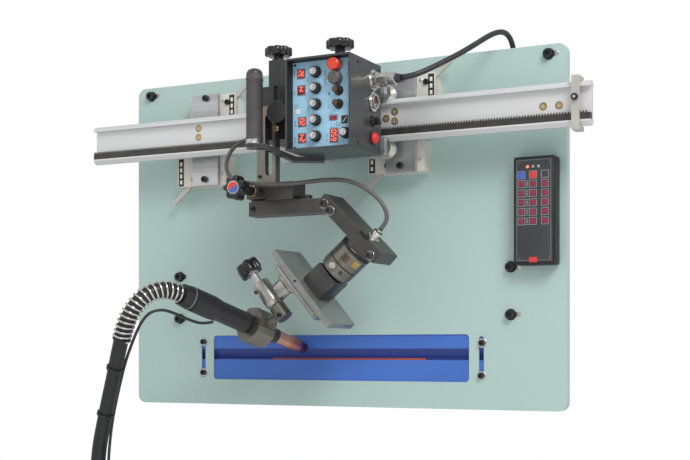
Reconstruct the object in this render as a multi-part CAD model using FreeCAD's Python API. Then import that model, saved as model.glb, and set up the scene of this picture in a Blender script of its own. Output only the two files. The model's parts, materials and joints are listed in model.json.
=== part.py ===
import FreeCAD, Part
import math
import os

os.makedirs("parts", exist_ok=True)
V = FreeCAD.Vector

# Rail-guided welding carriage on a steel panel, in millimetres.
# Origin: centre of the four lower studs, on the plane that the stand-off sleeves rest on.
# X runs along the rail, Z is up, and the panel's face looks along -Y.

# ---- driving dimensions: panel ----
PANEL_W = 848.0
PANEL_H = 600.0
PANEL_Z = 101.5          # panel's centre above the origin
PANEL_T = 15.0           # depth of the folded pan
SHEET = 2.5
PANEL_R = 15.0
STANDOFF = 60.0          # sleeves behind the panel
SLEEVE_R = 11.0
STUD_R = 4.0
SHANK_R = 3.6            # plain part of a screw, between head and free stud
STUD_OUT = 25.0          # free stud length past the sleeves
STUD_CLEAR = 0.3
HEAD_R = 7.5
HEAD_H = 8.0
WASHER_R = 9.5
WASHER_T = 1.6
LOWER_STUD_X = 656.0
LOWER_STUD_Z = 79.0
TOP_STUD_X = 786.0
TOP_STUD_Z = 385.5
ADJUST_SLOT_L = 26.0
ADJUST_SLOT_SHIFT = 5.0

# ---- window and work plates ----
WIN_W = 508.0
WIN_H = 81.0
WIN_Z = -112.0
WIN_R = 7.0
SIDE_SLOT_X = 276.0
SIDE_SLOT_W = 9.0
SIDE_SLOT_H = 74.0
WORK_W = 596.0
WORK_T = 10.0
WORK_LAP = 9.0           # plates reach past the window's edge
SEAM_Z = -114.5
SEAM_GAP = 2.0
BEVEL_H = 18.0

# ---- rail and rack ----
RAIL_Z = 286.5
RAIL_L = 957.0
RAIL_X = 5.5             # rail's middle
RAIL_HALF_H = 35.0
RAIL_BACK = 56.0         # lips' back, in front of the panel
RAIL_D = 20.0
LIP_T = 9.0
LIP_FACE = 2.5           # upright edge of a lip before its bevel
WEB_T = 6.0
WEB_SET = 4.0            # web's back behind the lips' back
MODULE = 1.5
RACK_D = 9.0
RACK_BASE = 10.6         # rack body under the tooth roots

# ---- magnet mounts ----
MOUNT_X = (-248.5, 144.5)
BRACKET_W = 55.0
BRACKET_T = 8.0
BRACKET_H = 166.0
MAGNET_L = 106.0
TOP_MAGNET_L = 97.0
MAGNET_H = 55.0
MAGNET_T = 30.0
MAGNET_SHIFT = 12.0      # lower block's middle left of the bracket's
MAGNET_RIM = 9.5         # upper block past the bracket's left edge
MAGNET_PIN_DEEP = 18.0
BRACKET_RIM = 4.0        # bracket plate beside its boss
LEVER_L = 64.0
TOP_LEVER_L = 50.0
LEVER_OUT = 20.0         # lever's back face in its slot
LEVER_IN = (38.0, 13.0)  # lower pivots from the block's outer corner
TOP_LEVER_IN = (15.7, 16.0)
LEVER_W = 8.0
LEVER_T = 5.0
LEVER_HUB_R = 9.0
LEVER_PIN_R = 4.0
LEVER_REST = 39.0        # upper levers' slope at rest

# ---- rail stop ----
STOP_INSET = 22.0        # stop's middle from the rail's right end
STOP_W = 12.0
STOP_T = 8.0
STOP_GAP = 0.4
STOP_HOOK = 7.0
STOP_SCREW_R = 5.0
STOP_SCREW_Z = 8.0

# ---- carriage ----
CAR_X = 97.75            # middle of the control box and of the pinion
CHASSIS_BACK = 86.0
CHASSIS_T = 12.0
CHASSIS_LEFT = -54.0
CHASSIS_RIGHT = 128.0
EAR_RIGHT = 142.0        # ears that carry the right wheels
EAR_H = 30.0
CHASSIS_LOW = -63.0      # from the rail's middle
CHASSIS_TOP = 70.0
GEARBOX_FRONT = 139.0
BOX_W = 115.5
BOX_H = 146.0
BOX_Z = 289.5
BOX_FRONT = 250.0
BOX_WALL = 3.0
HOOD_D = 24.0
FACE_T = 4.0
WHEEL_GAP = 0.3
WHEEL_DX = 30.0
WHEEL_GROOVE = 7.0
WHEEL_FLOOR_R = 10.0
WHEEL_RIM = 2.0
AXLE_R = 5.0
RUN_CLEAR = 0.05
PINION_TEETH = 20
PINION_W = 8.0
MESH_CLEAR = 0.15

# ---- controls on the face plate ----
DIAL_R = 9.3
DIAL_H = 14.0
DIAL_X = -12.0           # dial column from the box's middle
DIAL_Z0 = 239.4          # uppermost dial above the panel's middle
DIAL_PITCH = 25.3
LOW_DIAL_X = 41.0
BUTTON_R = 10.3
BUTTON_H = 15.0
BUTTON_X = 25.0
BUTTON_Z0 = 247.0
BUTTON_TRAVEL = 3.0
SPINDLE_R = 3.0
SEAT = 0.3               # clearance of a seated piece
TOGGLE_X = 28.0
TOGGLE_Z0 = 207.0
TOGGLE_PITCH = 21.0
TOGGLE_NUT_H = 4.0
TOGGLE_NUT_R = 7.0
TOGGLE_L = 15.0
TOGGLE_BARREL_R = 3.0

# ---- connectors on the box's right side ----
SIDE_OUT = 170.0
PLUG_Z = 332.5
SOCKET_Z = 298.5
CAP_Z = 267.5
LAMP_Z = 240.5
PLUG_L = 50.0

# ---- upright knobs ----
CLUTCH_X = 88.0
CLUTCH_OUT = 152.0
SCREW_R = 6.0
KNOB_R = 24.0
KNOB_H = 20.0
KNOB_Z = 392.0           # underside of the two upright knobs

# ---- handle ----
GRIP_X = -37.0
GRIP_OUT = 215.0
GRIP_R = 14.5
GRIP_LOW = 246.0
GRIP_H = 116.0
GRIP_DOME = 10.5
ARM_W = 24.0
ARM_T = 7.0
ARM_END_X = 52.0
ARM_END_OUT = 164.0
ARM_FOOT = 34.0

# ---- height slide ----
COLUMN_X = -37.5
COLUMN_W = 36.0
COLUMN_T = 12.0
COLUMN_BACK = 164.8
COLUMN_LOW = 180.0
COLUMN_H = 127.0
SCREW_X = -29.0
SCREW_OUT = 150.0
TONGUE_W = 9.0
TONGUE_D = 6.0
SLIDE_CLEAR = 0.15
HOUSING_LOW = 252.0
HOUSING_H = 90.0
HOUSING_W = 72.0
NECK_TOP = 386.0
DISC_R = 18.0
DISC_Z = 294.5
COLUMN_SLOT_W = 14.0
COLUMN_SLOT_L = 102.0
COLUMN_SLOT_SHIFT = 5.0

# ---- cross bar and link ----
BLOCK_H = 29.0
BLOCK_L = 50.0
BLOCK_SET = 18.0         # block starts right of the column's left side
BAR_H = 24.5
BAR_FRONT = 165.0
BAR_D = 30.0
BAR_LEFT = -78.0
LINK_W = 23.0
LINK_L = 146.0
LINK_D = 60.0
LINK_ANGLE = 45.0
STAR_R = 21.0
STAR_H = 24.0
STAR_X = -63.0
STAR_RISE = 15.5         # knob's axis above the block's underside
STAR_OUT = 57.0
BAR_TONGUE_W = 14.0
BAR_TONGUE_H = 8.0
BAR_TONGUE_L = 110.0
LINK_X = 51.0            # lower left corner of the link's upper end
LINK_Z = 142.5
GLAND_ALONG = 110.0
GLAND_OUT = 150.0
GLAND_L = 20.0

# ---- weaving unit ----
UNIT_ANGLE = 40.0        # the barrel's axis below the horizontal
UNIT_OUT = 135.0         # axis in front of the panel
UNIT_ALONG = 97.3        # where the axis leaves the link
BARREL_SEAT = 9.0        # link's round seat, at its short side
BARREL_GROOVE = 1.5
BARREL_R = 29.0
MOTOR_W = 52.0
BARREL_L = 55.0
MOTOR_L = 55.0
BASE_L = 163.0
BASE_W = 90.0
BASE_T = 10.0
CARRIER_L = 113.0
CARRIER_T = 12.7
CARRIER_STEP = 5.0
BASE_P0 = -86.0
CARRIER_P0 = -64.0
DOVE_D = 5.0
DOVE_W = 20.0
DOVE_UNDERCUT = 3.0

# ---- torch ----
HOLDER_R = 14.0
HOLDER_L = 52.0
HOLDER_OUT = 130.0
HOLDER_DROP = 188.0      # holder's axis along the barrel's axis
HOLDER_P0 = -82.0
HOLDER_FOOT_W = 52.0
TORCH_X = -58.0          # nozzle's tip
TORCH_Z = -95.5
TORCH_OUT = 8.0
TORCH_DIR = (-0.370, -0.870, 0.327)
NOZZLE_R = 11.5
NOZZLE_L = 66.0
INSULATOR_R = 13.0
NECK_R = 14.0
INSULATOR_L = 18.0
CLAMP_S = 92.0           # along the torch from its tip
CLAMP_L = 36.0
CLAMP_R = 33.0
CLAMP_BOSS = 25.0
CLAMP_ARM_R = 8.0
HANDLE_S = 132.0
HANDLE_R = 18.0
HANDLE_END_R = 20.5
HANDLE_L = 142.0
HOSE_R = 12.5
SPRING_R = 15.5
LEAD_R = 2.5

# ---- cords: route points as x, distance in front of the panel, z ----
HOSE_STRAIGHT = 18.0
HOSE_ROUTE = [(-176, 278, 1), (-188, 292, -4), (-200, 303, -15), (-211, 309, -30), (-222, 311, -49),
              (-232, 308, -70), (-243, 303, -95), (-256, 295, -124), (-271, 286, -156),
              (-286, 278, -190), (-300, 271, -225), (-313, 265, -262), (-321, 260, -302),
              (-325, 257, -344)]
SPRING_POINTS = 6        # route points that the spring guard covers
COIL_R = 150.0
COIL_X = HOSE_ROUTE[-1][0] + COIL_R
COIL_Z = -462.0
COIL_OUT = HOSE_ROUTE[-1][1] - HOSE_R * 2
COIL_TAIL = 100.0
LEAD_START = 200.0       # along the torch
LEAD_ROUTE = [(-150, 196, -55), (-162, 223, -47), (-172, 248, -37), (-182, 268, -31), (-196, 284, -36),
              (-209, 289, -52), (-222, 287, -72), (-235, 283, -93), (-250, 277, -118), (-264, 270, -147),
              (-277, 264, -178), (-289, 259, -211), (-297, 256, -246), (-303, 253, -283),
              (-306, 251, -320), (-308, 250, -357)]
CONTROL_R = 4.5
CABLE_GAP = 1.0          # from the plug's end
CONTROL_ROUTE = [(226, 167, 334.5), (245, 148, 347), (262, 125, 362), (279, 101, 378), (295, 76, 396),
                 (307, 51, 413), (315, 28, 424), (320, 6, 428), (322, -16, 422), (322, -32, 406),
                 (321, -39, 384), (320, -41, 360)]
CONTROL_COIL_R = 50.0
CONTROL_COIL_X = CONTROL_ROUTE[-1][0] - CONTROL_COIL_R
CONTROL_COIL_Z = 325.0
CONTROL_COIL_OUT = CONTROL_ROUTE[-1][1]
CONTROL_TAIL = 52.0
OSC_R = 3.5
OSC_START = 135.0
OSC_ROUTE = [(-72, 135, 262), (-92, 138, 262), (-108, 147, 256), (-117, 160, 241), (-118, 174, 219),
             (-108, 186, 198), (-88, 193, 184), (-58, 195, 178), (-22, 194, 174), (14, 190, 173),
             (44, 181, 176), (72, 173, 178.5), (102, 168, 178), (130, 163, 168.5), (152.5, 157, 152),
             (166, 153, 136), (172.5, 151, 120), (169.9, 150, 105.8)]

# ---- pendant ----
PENDANT_W = 70.0
PENDANT_H = 176.0
PENDANT_T = 30.0
PENDANT_X = 377.5
PENDANT_Z = 128.0

# ---- derived planes ----
BACK_Y = -STANDOFF                       # panel's back edge plane
FACE_Y = BACK_Y - PANEL_T                # panel's front face
RAIL_LOW = RAIL_Z - RAIL_HALF_H
WEB_BACK = RAIL_BACK + WEB_SET
WEB_FRONT = WEB_BACK + WEB_T
RAIL_FRONT = RAIL_BACK + RAIL_D
STOP_X = RAIL_X + RAIL_L / 2 - STOP_INSET
PITCH = math.pi * MODULE
PITCH_Z = RAIL_LOW + LIP_T + RACK_BASE + 1.25 * MODULE
PINION_R = MODULE * PINION_TEETH / 2
PINION_Z = PITCH_Z + PINION_R + MESH_CLEAR
BRACKET_BACK = MAGNET_T
BRACKET_FRONT = BRACKET_BACK + BRACKET_T
CHASSIS_FRONT = CHASSIS_BACK + CHASSIS_T
WHEEL_R = WHEEL_FLOOR_R + WHEEL_GROOVE
WHEEL_Z = RAIL_HALF_H + WHEEL_FLOOR_R + WHEEL_GAP
FACE_OUT = BOX_FRONT - HOOD_D + FACE_T
COLUMN_FRONT = COLUMN_BACK + COLUMN_T
BLOCK_LOW = COLUMN_LOW - BLOCK_H
BAR_TOP = BLOCK_LOW - SEAT


def out(h):
    """y of a plane at distance h in front of the panel's face."""
    return FACE_Y - h


def box(x0, x1, h0, h1, z0, z1):
    return Part.makeBox(x1 - x0, h1 - h0, z1 - z0, V(x0, out(h1), z0))


def cyl_y(r, x, z, h0, h1):
    """Cylinder along Y between two distances in front of the panel."""
    return Part.makeCylinder(r, h1 - h0, V(x, out(h0), z), V(0, -1, 0))


def cyl_x(r, x0, x1, h, z):
    return Part.makeCylinder(r, x1 - x0, V(x0, out(h), z), V(1, 0, 0))


def cyl_z(r, x, h, z0, z1):
    return Part.makeCylinder(r, z1 - z0, V(x, out(h), z0))


def slab(points, h0, h1):
    """Upright outline of (x, z) points, between two distances in front of the panel."""
    wire = Part.makePolygon([V(x, out(h0), z) for x, z in points + points[:1]])
    return Part.Face(wire).extrude(V(0, h0 - h1, 0))


def rounded(width, height, r, x, z, h0, h1):
    """Upright rounded rectangle about (x, z)."""
    solid = box(x - width / 2, x + width / 2, h0, h1, z - height / 2, z + height / 2)
    edges = [e for e in solid.Edges if abs(e.tangentAt(e.FirstParameter).y) > 0.9]
    return solid.makeFillet(r, edges)


def turned(profile, origin, axis, across):
    """Solid of revolution of (radius, height) points about an axis."""
    points = [origin + across * r + axis * t for r, t in profile]
    face = Part.Face(Part.makePolygon(points + points[:1]))
    return face.revolve(origin, axis, 360)


def lobed(count, r, dip, height, origin, axis):
    """Knob with finger dips between its lobes."""
    knob = Part.makeCylinder(r, height, origin, axis)
    across = axis.cross(V(0, 0, 1)) if abs(axis.z) < 0.9 else V(1, 0, 0)
    across.normalize()
    for k in range(count):
        turn = FreeCAD.Rotation(axis, 360.0 * k / count)
        centre = origin + turn.multVec(across) * (r + dip * 0.45) - axis
        knob = knob.cut(Part.makeCylinder(dip, height + 2, centre, axis))
    return knob


def fuse(solids):
    whole = solids[0].multiFuse(solids[1:])
    return whole.removeSplitter()


def group(solids):
    return Part.makeCompound(solids)


def save(name, shape):
    shape.exportStep("parts/" + name + ".step")


# ---- panel, screws, sleeves ----
def stud_places():
    lower = [(sx * LOWER_STUD_X / 2, sz * LOWER_STUD_Z / 2) for sx in (-1, 1) for sz in (-1, 1)]
    top = [(sx * TOP_STUD_X / 2, TOP_STUD_Z) for sx in (-1, 1)]
    return lower + top


def make_panel():
    pan = rounded(PANEL_W, PANEL_H, PANEL_R, 0, PANEL_Z, -PANEL_T, 0)
    inner_r = PANEL_R - SHEET
    pocket = rounded(PANEL_W - 2 * SHEET, PANEL_H - 2 * SHEET, inner_r, 0, PANEL_Z, -PANEL_T, -SHEET)
    pan = pan.cut(pocket)
    pan = pan.cut(rounded(WIN_W, WIN_H, WIN_R, 0, WIN_Z, -PANEL_T, 1))
    for side in (-1, 1):
        slot_r = SIDE_SLOT_W / 2 - 0.01
        pan = pan.cut(rounded(SIDE_SLOT_W, SIDE_SLOT_H, slot_r, side * SIDE_SLOT_X, WIN_Z, -PANEL_T, 1))
    slot_w = 2 * (STUD_R + STUD_CLEAR)
    for x, z in stud_places():
        middle = x + ADJUST_SLOT_SHIFT
        pan = pan.cut(rounded(ADJUST_SLOT_L, slot_w, slot_w / 2 - 0.01, middle, z, -PANEL_T, 1))
    return pan


def make_screws():
    screws = []
    for x, z in stud_places():
        washer = cyl_y(WASHER_R, x, z, 0, WASHER_T)
        head = cyl_y(HEAD_R, x, z, WASHER_T, WASHER_T + HEAD_H)
        socket = cyl_y(HEAD_R / 2, x, z, WASHER_T + HEAD_H / 2, WASHER_T + HEAD_H + 1)
        shank = cyl_y(SHANK_R, x, z, -PANEL_T - STANDOFF, WASHER_T)
        stud = cyl_y(STUD_R, x, z, -PANEL_T - STANDOFF - STUD_OUT, -PANEL_T - STANDOFF)
        screws.append(fuse([washer, head.cut(socket), shank, stud]))
    return group(screws)


def make_sleeves():
    """Sleeves from the sheet's back to the mounting plane, one on each stud."""
    sleeves = []
    for x, z in stud_places():
        tube = cyl_y(SLEEVE_R, x, z, -PANEL_T - STANDOFF, -SHEET)
        bore = cyl_y(STUD_R + STUD_CLEAR, x, z, -PANEL_T - STANDOFF - 1, 0)
        sleeves.append(tube.cut(bore))
    return group(sleeves)


def make_work_plate(upper):
    back = -SHEET - WORK_T
    half = WORK_W / 2
    edge = SEAM_Z + SEAM_GAP / 2 if upper else SEAM_Z - SEAM_GAP / 2
    if upper:
        top = WIN_Z + WIN_H / 2 + WORK_LAP
        profile = [(-SHEET, edge + BEVEL_H), (-SHEET, top), (back, top), (back, edge)]
    else:
        low = WIN_Z - WIN_H / 2 - WORK_LAP
        profile = [(-SHEET, low), (-SHEET, edge), (back, edge), (back, low)]
    points = [V(-half, out(h), z) for h, z in profile]
    return Part.Face(Part.makePolygon(points + points[:1])).extrude(V(WORK_W, 0, 0))


# ---- magnet mounts ----
def make_brackets():
    plates = []
    for x in MOUNT_X:
        half = BRACKET_W / 2
        low = RAIL_Z - BRACKET_H / 2
        plate = box(x - half, x + half, BRACKET_BACK, BRACKET_FRONT, low, low + BRACKET_H)
        boss_h = RAIL_HALF_H - LIP_T - 1
        edge = half - BRACKET_RIM
        boss = box(x - edge, x + edge, BRACKET_FRONT, WEB_BACK, RAIL_Z - boss_h, RAIL_Z + boss_h)
        plates.append(fuse([plate, boss]))
    return group(plates)


def magnet_edges(x, upper):
    """Left, right, low and high edges of one magnet block."""
    inner = BRACKET_H / 2 - MAGNET_H
    outer = BRACKET_H / 2
    if upper:
        left = x - BRACKET_W / 2 - MAGNET_RIM
        return left, left + TOP_MAGNET_L, RAIL_Z + inner, RAIL_Z + outer
    right = x + MAGNET_L / 2 - MAGNET_SHIFT
    return right - MAGNET_L, right, RAIL_Z - outer, RAIL_Z - inner


def lever_pivot(x, upper):
    """Upper levers turn near the block's upper right corner, lower ones near its lower left."""
    left, right, low, high = magnet_edges(x, upper)
    if upper:
        return right - TOP_LEVER_IN[0], high - TOP_LEVER_IN[1]
    return left + LEVER_IN[0], low + LEVER_IN[1]


def make_magnets():
    blocks = []
    for x in MOUNT_X:
        for upper in (True, False):
            left, right, low, high = magnet_edges(x, upper)
            block = rounded(right - left, high - low, 5, (left + right) / 2, (low + high) / 2, 0, MAGNET_T)
            px, pz = lever_pivot(x, upper)
            room = LEVER_HUB_R + 1
            x0, x1 = (px - room, right + 1) if upper else (left - 1, px + room)
            slot = box(x0, x1, LEVER_OUT - SEAT, LEVER_OUT + LEVER_T + SEAT, low - 1, high + 1)
            bore = cyl_y(LEVER_PIN_R + RUN_CLEAR, px, pz, MAGNET_T - MAGNET_PIN_DEEP, MAGNET_T + 1)
            blocks.append(block.cut(slot).cut(bore))
    return group(blocks)


def make_lever(x, upper):
    px, pz = lever_pivot(x, upper)
    h0 = LEVER_OUT
    length = TOP_LEVER_L if upper else LEVER_L
    hub = cyl_y(LEVER_HUB_R, px, pz, h0, h0 + LEVER_T)
    pin = cyl_y(LEVER_PIN_R, px, pz, MAGNET_T - MAGNET_PIN_DEEP + 1, MAGNET_T)
    angle = math.radians(LEVER_REST if upper else LEVER_REST + 180)
    ex = px + length * math.cos(angle)
    ez = pz + length * math.sin(angle)
    nx = -math.sin(angle) * LEVER_W / 2
    nz = math.cos(angle) * LEVER_W / 2
    arm = slab([(px - nx, pz - nz), (ex - nx, ez - nz), (ex + nx, ez + nz), (px + nx, pz + nz)],
               h0, h0 + LEVER_T)
    tip = cyl_y(LEVER_W / 2, ex, ez, h0, h0 + LEVER_T)
    return fuse([hub, pin, arm, tip])


# ---- rail, rack, stop ----
def make_rail():
    bevel = LIP_T - LIP_FACE
    half = RAIL_HALF_H
    lip = half - LIP_T
    upper = [(WEB_FRONT, lip), (RAIL_FRONT, lip), (RAIL_FRONT, lip + LIP_FACE),
             (RAIL_FRONT - bevel, half), (RAIL_BACK + bevel, half), (RAIL_BACK, lip + LIP_FACE),
             (RAIL_BACK, lip), (WEB_BACK, lip)]
    section = upper + [(h, -z) for h, z in reversed(upper)]
    x0 = RAIL_X - RAIL_L / 2
    points = [V(x0, out(h), RAIL_Z + z) for h, z in section]
    return Part.Face(Part.makePolygon(points + points[:1])).extrude(V(RAIL_L, 0, 0))


def make_rack():
    """Straight-sided teeth, with a gap under the pinion's middle."""
    x0 = RAIL_X - RAIL_L / 2
    x1 = x0 + RAIL_L
    low = RAIL_LOW + LIP_T
    root = PITCH_Z - 1.25 * MODULE
    tip = PITCH_Z + MODULE
    slope = math.tan(math.radians(20))
    half = PITCH / 4 - MESH_CLEAR / 2
    points = [(x1, low), (x0, low), (x0, root)]
    first = math.ceil((x0 - CAR_X) / PITCH)
    last = math.floor((x1 - CAR_X) / PITCH) - 1
    for k in range(first, last + 1):
        middle = CAR_X + (k + 0.5) * PITCH
        foot = half + 1.25 * MODULE * slope
        head = half - MODULE * slope
        points += [(middle - foot, root), (middle - head, tip), (middle + head, tip), (middle + foot, root)]
    points.append((x1, root))
    return slab(points, WEB_FRONT, WEB_FRONT + RACK_D)


def make_stop():
    """C-shaped clamp round the rail's front, hooked over both edges, with its screw."""
    front = RAIL_FRONT + STOP_GAP
    half = RAIL_HALF_H + STOP_GAP
    reach = half + STOP_HOOK
    x0 = STOP_X - STOP_W / 2
    x1 = STOP_X + STOP_W / 2
    solids = [box(x0, x1, front, front + STOP_T, RAIL_Z - reach, RAIL_Z + reach)]
    for side in (-1, 1):
        z0, z1 = sorted((RAIL_Z + side * half, RAIL_Z + side * reach))
        solids.append(box(x0, x1, RAIL_BACK, front, z0, z1))
    z = RAIL_Z + STOP_SCREW_Z
    screw = cyl_y(STOP_SCREW_R, STOP_X, z, front + STOP_T, front + STOP_T + STOP_SCREW_R)
    tip = cyl_y(STOP_SCREW_R / 2, STOP_X, z, WEB_FRONT + STOP_GAP, front + STOP_T)
    return fuse(solids + [screw, tip])


# ---- carriage ----
def wheel_places():
    return [(CAR_X + sx * WHEEL_DX, RAIL_Z + sz * WHEEL_Z) for sz in (1, -1) for sx in (-1, 1)]


def make_chassis():
    """Plate with two ears, the gearbox in front of it and the wheels' axles behind it."""
    low = RAIL_Z + CHASSIS_LOW
    top = RAIL_Z + CHASSIS_TOP
    plate = rounded(EAR_RIGHT - CHASSIS_LEFT, top - low, 6, (EAR_RIGHT + CHASSIS_LEFT) / 2, (low + top) / 2,
                    CHASSIS_BACK, CHASSIS_FRONT)
    plate = plate.cut(box(CHASSIS_RIGHT, EAR_RIGHT + 1, CHASSIS_BACK - 1, CHASSIS_FRONT + 1,
                          low + EAR_H, top - EAR_H))
    gearbox = box(CAR_X - BOX_W / 2 + 4, CHASSIS_RIGHT, CHASSIS_FRONT, GEARBOX_FRONT,
                  BOX_Z - BOX_H / 2 + 2, BOX_Z + BOX_H / 2 - 2)
    solids = [plate, gearbox]
    middle = (RAIL_BACK + RAIL_FRONT) / 2
    half = wheel_half_width()
    for x, z in wheel_places():
        solids.append(cyl_y(AXLE_R + 3, x, z, middle + half + SEAT, CHASSIS_BACK))
        solids.append(cyl_y(AXLE_R, x, z, middle - half - 4, CHASSIS_BACK))
        solids.append(cyl_y(AXLE_R + 3, x, z, middle - half - 4, middle - half - 1))
    chassis = fuse(solids)
    bore = cyl_y(AXLE_R + RUN_CLEAR, CAR_X, PINION_Z, CHASSIS_BACK - 1, CHASSIS_FRONT + 6)
    return chassis.cut(bore)


def wheel_half_width():
    flat = (RAIL_D - 2 * (LIP_T - LIP_FACE)) / 2
    return flat + WHEEL_GROOVE + WHEEL_RIM


def make_wheel(x, z):
    """Roller whose groove matches the rail's bevelled edge."""
    flat = (RAIL_D - 2 * (LIP_T - LIP_FACE)) / 2
    half = wheel_half_width()
    bore = AXLE_R + RUN_CLEAR
    profile = [(bore, -half), (WHEEL_R, -half), (WHEEL_R, -half + WHEEL_RIM), (WHEEL_FLOOR_R, -flat),
               (WHEEL_FLOOR_R, flat), (WHEEL_R, half - WHEEL_RIM), (WHEEL_R, half), (bore, half)]
    middle = (RAIL_BACK + RAIL_FRONT) / 2
    return turned(profile, V(x, out(middle), z), V(0, -1, 0), V(1, 0, 0))


def make_pinion():
    """Involute gear on its shaft; one tooth points down into the rack."""
    base = PINION_R * math.cos(math.radians(20))
    tip = PINION_R + MODULE
    root = PINION_R - 1.25 * MODULE
    quarter = math.pi / (2 * PINION_TEETH) - MESH_CLEAR / 2 / PINION_R

    def flank(r):
        inv = math.tan(math.acos(base / r)) - math.acos(base / r)
        at_pitch = math.tan(math.radians(20)) - math.radians(20)
        return quarter + at_pitch - inv

    def point(r, angle):
        return V(CAR_X + r * math.sin(angle), out(WEB_FRONT + 1), PINION_Z - r * math.cos(angle))

    points = []
    for k in range(PINION_TEETH):
        centre = 2 * math.pi * k / PINION_TEETH
        low = flank(base + 0.01)
        points.append(point(root, centre - low))
        for r in (base + 0.01, PINION_R, tip):
            points.append(point(r, centre - flank(r)))
        for r in (tip, PINION_R, base + 0.01):
            points.append(point(r, centre + flank(r)))
        points.append(point(root, centre + low))
    gear = Part.Face(Part.makePolygon(points + points[:1])).extrude(V(0, -PINION_W, 0))
    shaft = cyl_y(AXLE_R, CAR_X, PINION_Z, WEB_FRONT + 1, CHASSIS_FRONT + 5)
    return fuse([gear, shaft])


def box_edges():
    return CAR_X - BOX_W / 2, CAR_X + BOX_W / 2, BOX_Z - BOX_H / 2, BOX_Z + BOX_H / 2


def make_control_box():
    """Folded case with a hood round the recessed face."""
    x0, x1, z0, z1 = box_edges()
    case = box(x0, x1, GEARBOX_FRONT, BOX_FRONT, z0, z1)
    long_edges = [e for e in case.Edges if abs(e.tangentAt(e.FirstParameter).y) > 0.9]
    case = case.makeFillet(2.0, long_edges)
    recess = box(x0 + BOX_WALL, x1 - BOX_WALL, BOX_FRONT - HOOD_D, BOX_FRONT + 1,
                 z0 + BOX_WALL, z1 - BOX_WALL)
    case = case.cut(recess)
    for x, z in spindle_places():
        case = case.cut(cyl_y(SPINDLE_R + 1, x, z, BOX_FRONT - HOOD_D - 12, BOX_FRONT))
    knob_bore = cyl_z(SCREW_R + RUN_CLEAR, CLUTCH_X, CLUTCH_OUT, z1 - 20, z1 + 1)
    return case.cut(knob_bore)


def dial_places():
    z0 = PANEL_Z + DIAL_Z0
    column = [(CAR_X + DIAL_X, z0 - k * DIAL_PITCH) for k in range(5)]
    return column + [(CAR_X + LOW_DIAL_X, z0 - 4 * DIAL_PITCH + 1.5)]


def button_places():
    z0 = PANEL_Z + BUTTON_Z0
    return [(CAR_X + BUTTON_X, z0), (CAR_X + BUTTON_X + 1, z0 - 2 * BUTTON_R - 1)]


def toggle_places():
    z0 = PANEL_Z + TOGGLE_Z0
    return [(CAR_X + TOGGLE_X, z0), (CAR_X + TOGGLE_X, z0 - TOGGLE_PITCH)]


def spindle_places():
    return dial_places() + button_places()


def make_face_plate():
    x0, x1, z0, z1 = box_edges()
    gap = BOX_WALL + 0.2
    plate = box(x0 + gap, x1 - gap, BOX_FRONT - HOOD_D, FACE_OUT, z0 + gap, z1 - gap)
    for x, z in toggle_places():
        plate = plate.fuse(cyl_y(TOGGLE_NUT_R, x, z, FACE_OUT, FACE_OUT + TOGGLE_NUT_H))
    for x, z in spindle_places():
        plate = plate.cut(cyl_y(SPINDLE_R + RUN_CLEAR, x, z, BOX_FRONT - HOOD_D - 1, FACE_OUT + 1))
    return plate


def make_dial(x, z):
    h0 = FACE_OUT + SEAT
    skirt = cyl_y(DIAL_R, x, z, h0, h0 + 4)
    grip = Part.makeCone(DIAL_R - 1, DIAL_R - 2.2, DIAL_H - 4, V(x, out(h0 + 4), z), V(0, -1, 0))
    spindle = cyl_y(SPINDLE_R, x, z, FACE_OUT - 10, h0 + 1)
    return fuse([skirt, grip, spindle])


def make_button(x, z):
    h0 = FACE_OUT + BUTTON_TRAVEL + SEAT
    cap = cyl_y(BUTTON_R, x, z, h0, h0 + BUTTON_H)
    rim = [e for e in cap.Edges if abs(e.BoundBox.YMin - out(h0 + BUTTON_H)) < 0.01]
    cap = cap.makeFillet(3.0, rim[:1])
    stem = cyl_y(SPINDLE_R, x, z, FACE_OUT - 8, h0 + 1)
    return fuse([cap, stem])


def make_toggle(x, z):
    h0 = FACE_OUT + TOGGLE_NUT_H + SEAT + TOGGLE_BARREL_R
    barrel = cyl_z(TOGGLE_BARREL_R, x, h0, z - TOGGLE_BARREL_R, z + TOGGLE_BARREL_R)
    bat = Part.makeCone(2.0, 3.4, TOGGLE_L, V(x, out(h0), z), V(0, -1, 0))
    return fuse([barrel, bat])


def make_side_fittings():
    """Plug, empty socket, fuse cap and lamp, each as (radius, distance) from the box's side."""
    profiles = {
        PLUG_Z: [(0, 0), (17, 0), (17, 3), (12.5, 4), (12.5, 10), (10, 11), (10, 18), (12, 19), (12, 31),
                 (8, 33), (6.5, PLUG_L), (0, PLUG_L)],
        SOCKET_Z: [(0, 0), (16, 0), (16, 3), (12, 4), (12, 7), (9, 7), (9, 2), (0, 2)],
        CAP_Z: [(0, 0), (9, 0), (9, 4), (6.5, 5), (6, 14), (0, 14)],
        LAMP_Z: [(0, 0), (11, 0), (11, 3), (9, 4), (7, 8), (0, 9)],
    }
    x1 = CAR_X + BOX_W / 2
    return group([turned(profile, V(x1, out(SIDE_OUT), z), V(1, 0, 0), V(0, 0, 1))
                  for z, profile in profiles.items()])


def fluted_knob(x, h, bottom, shaft_low):
    """Upright hand knob with flutes, a collar and its screw."""
    origin = V(x, out(h), KNOB_Z)
    knob = lobed(10, KNOB_R, 4.0, KNOB_H, origin, V(0, 0, 1))
    collar = cyl_z(11, x, h, bottom, KNOB_Z)
    shaft = cyl_z(SCREW_R, x, h, shaft_low, bottom)
    return fuse([knob, collar, shaft])


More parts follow.
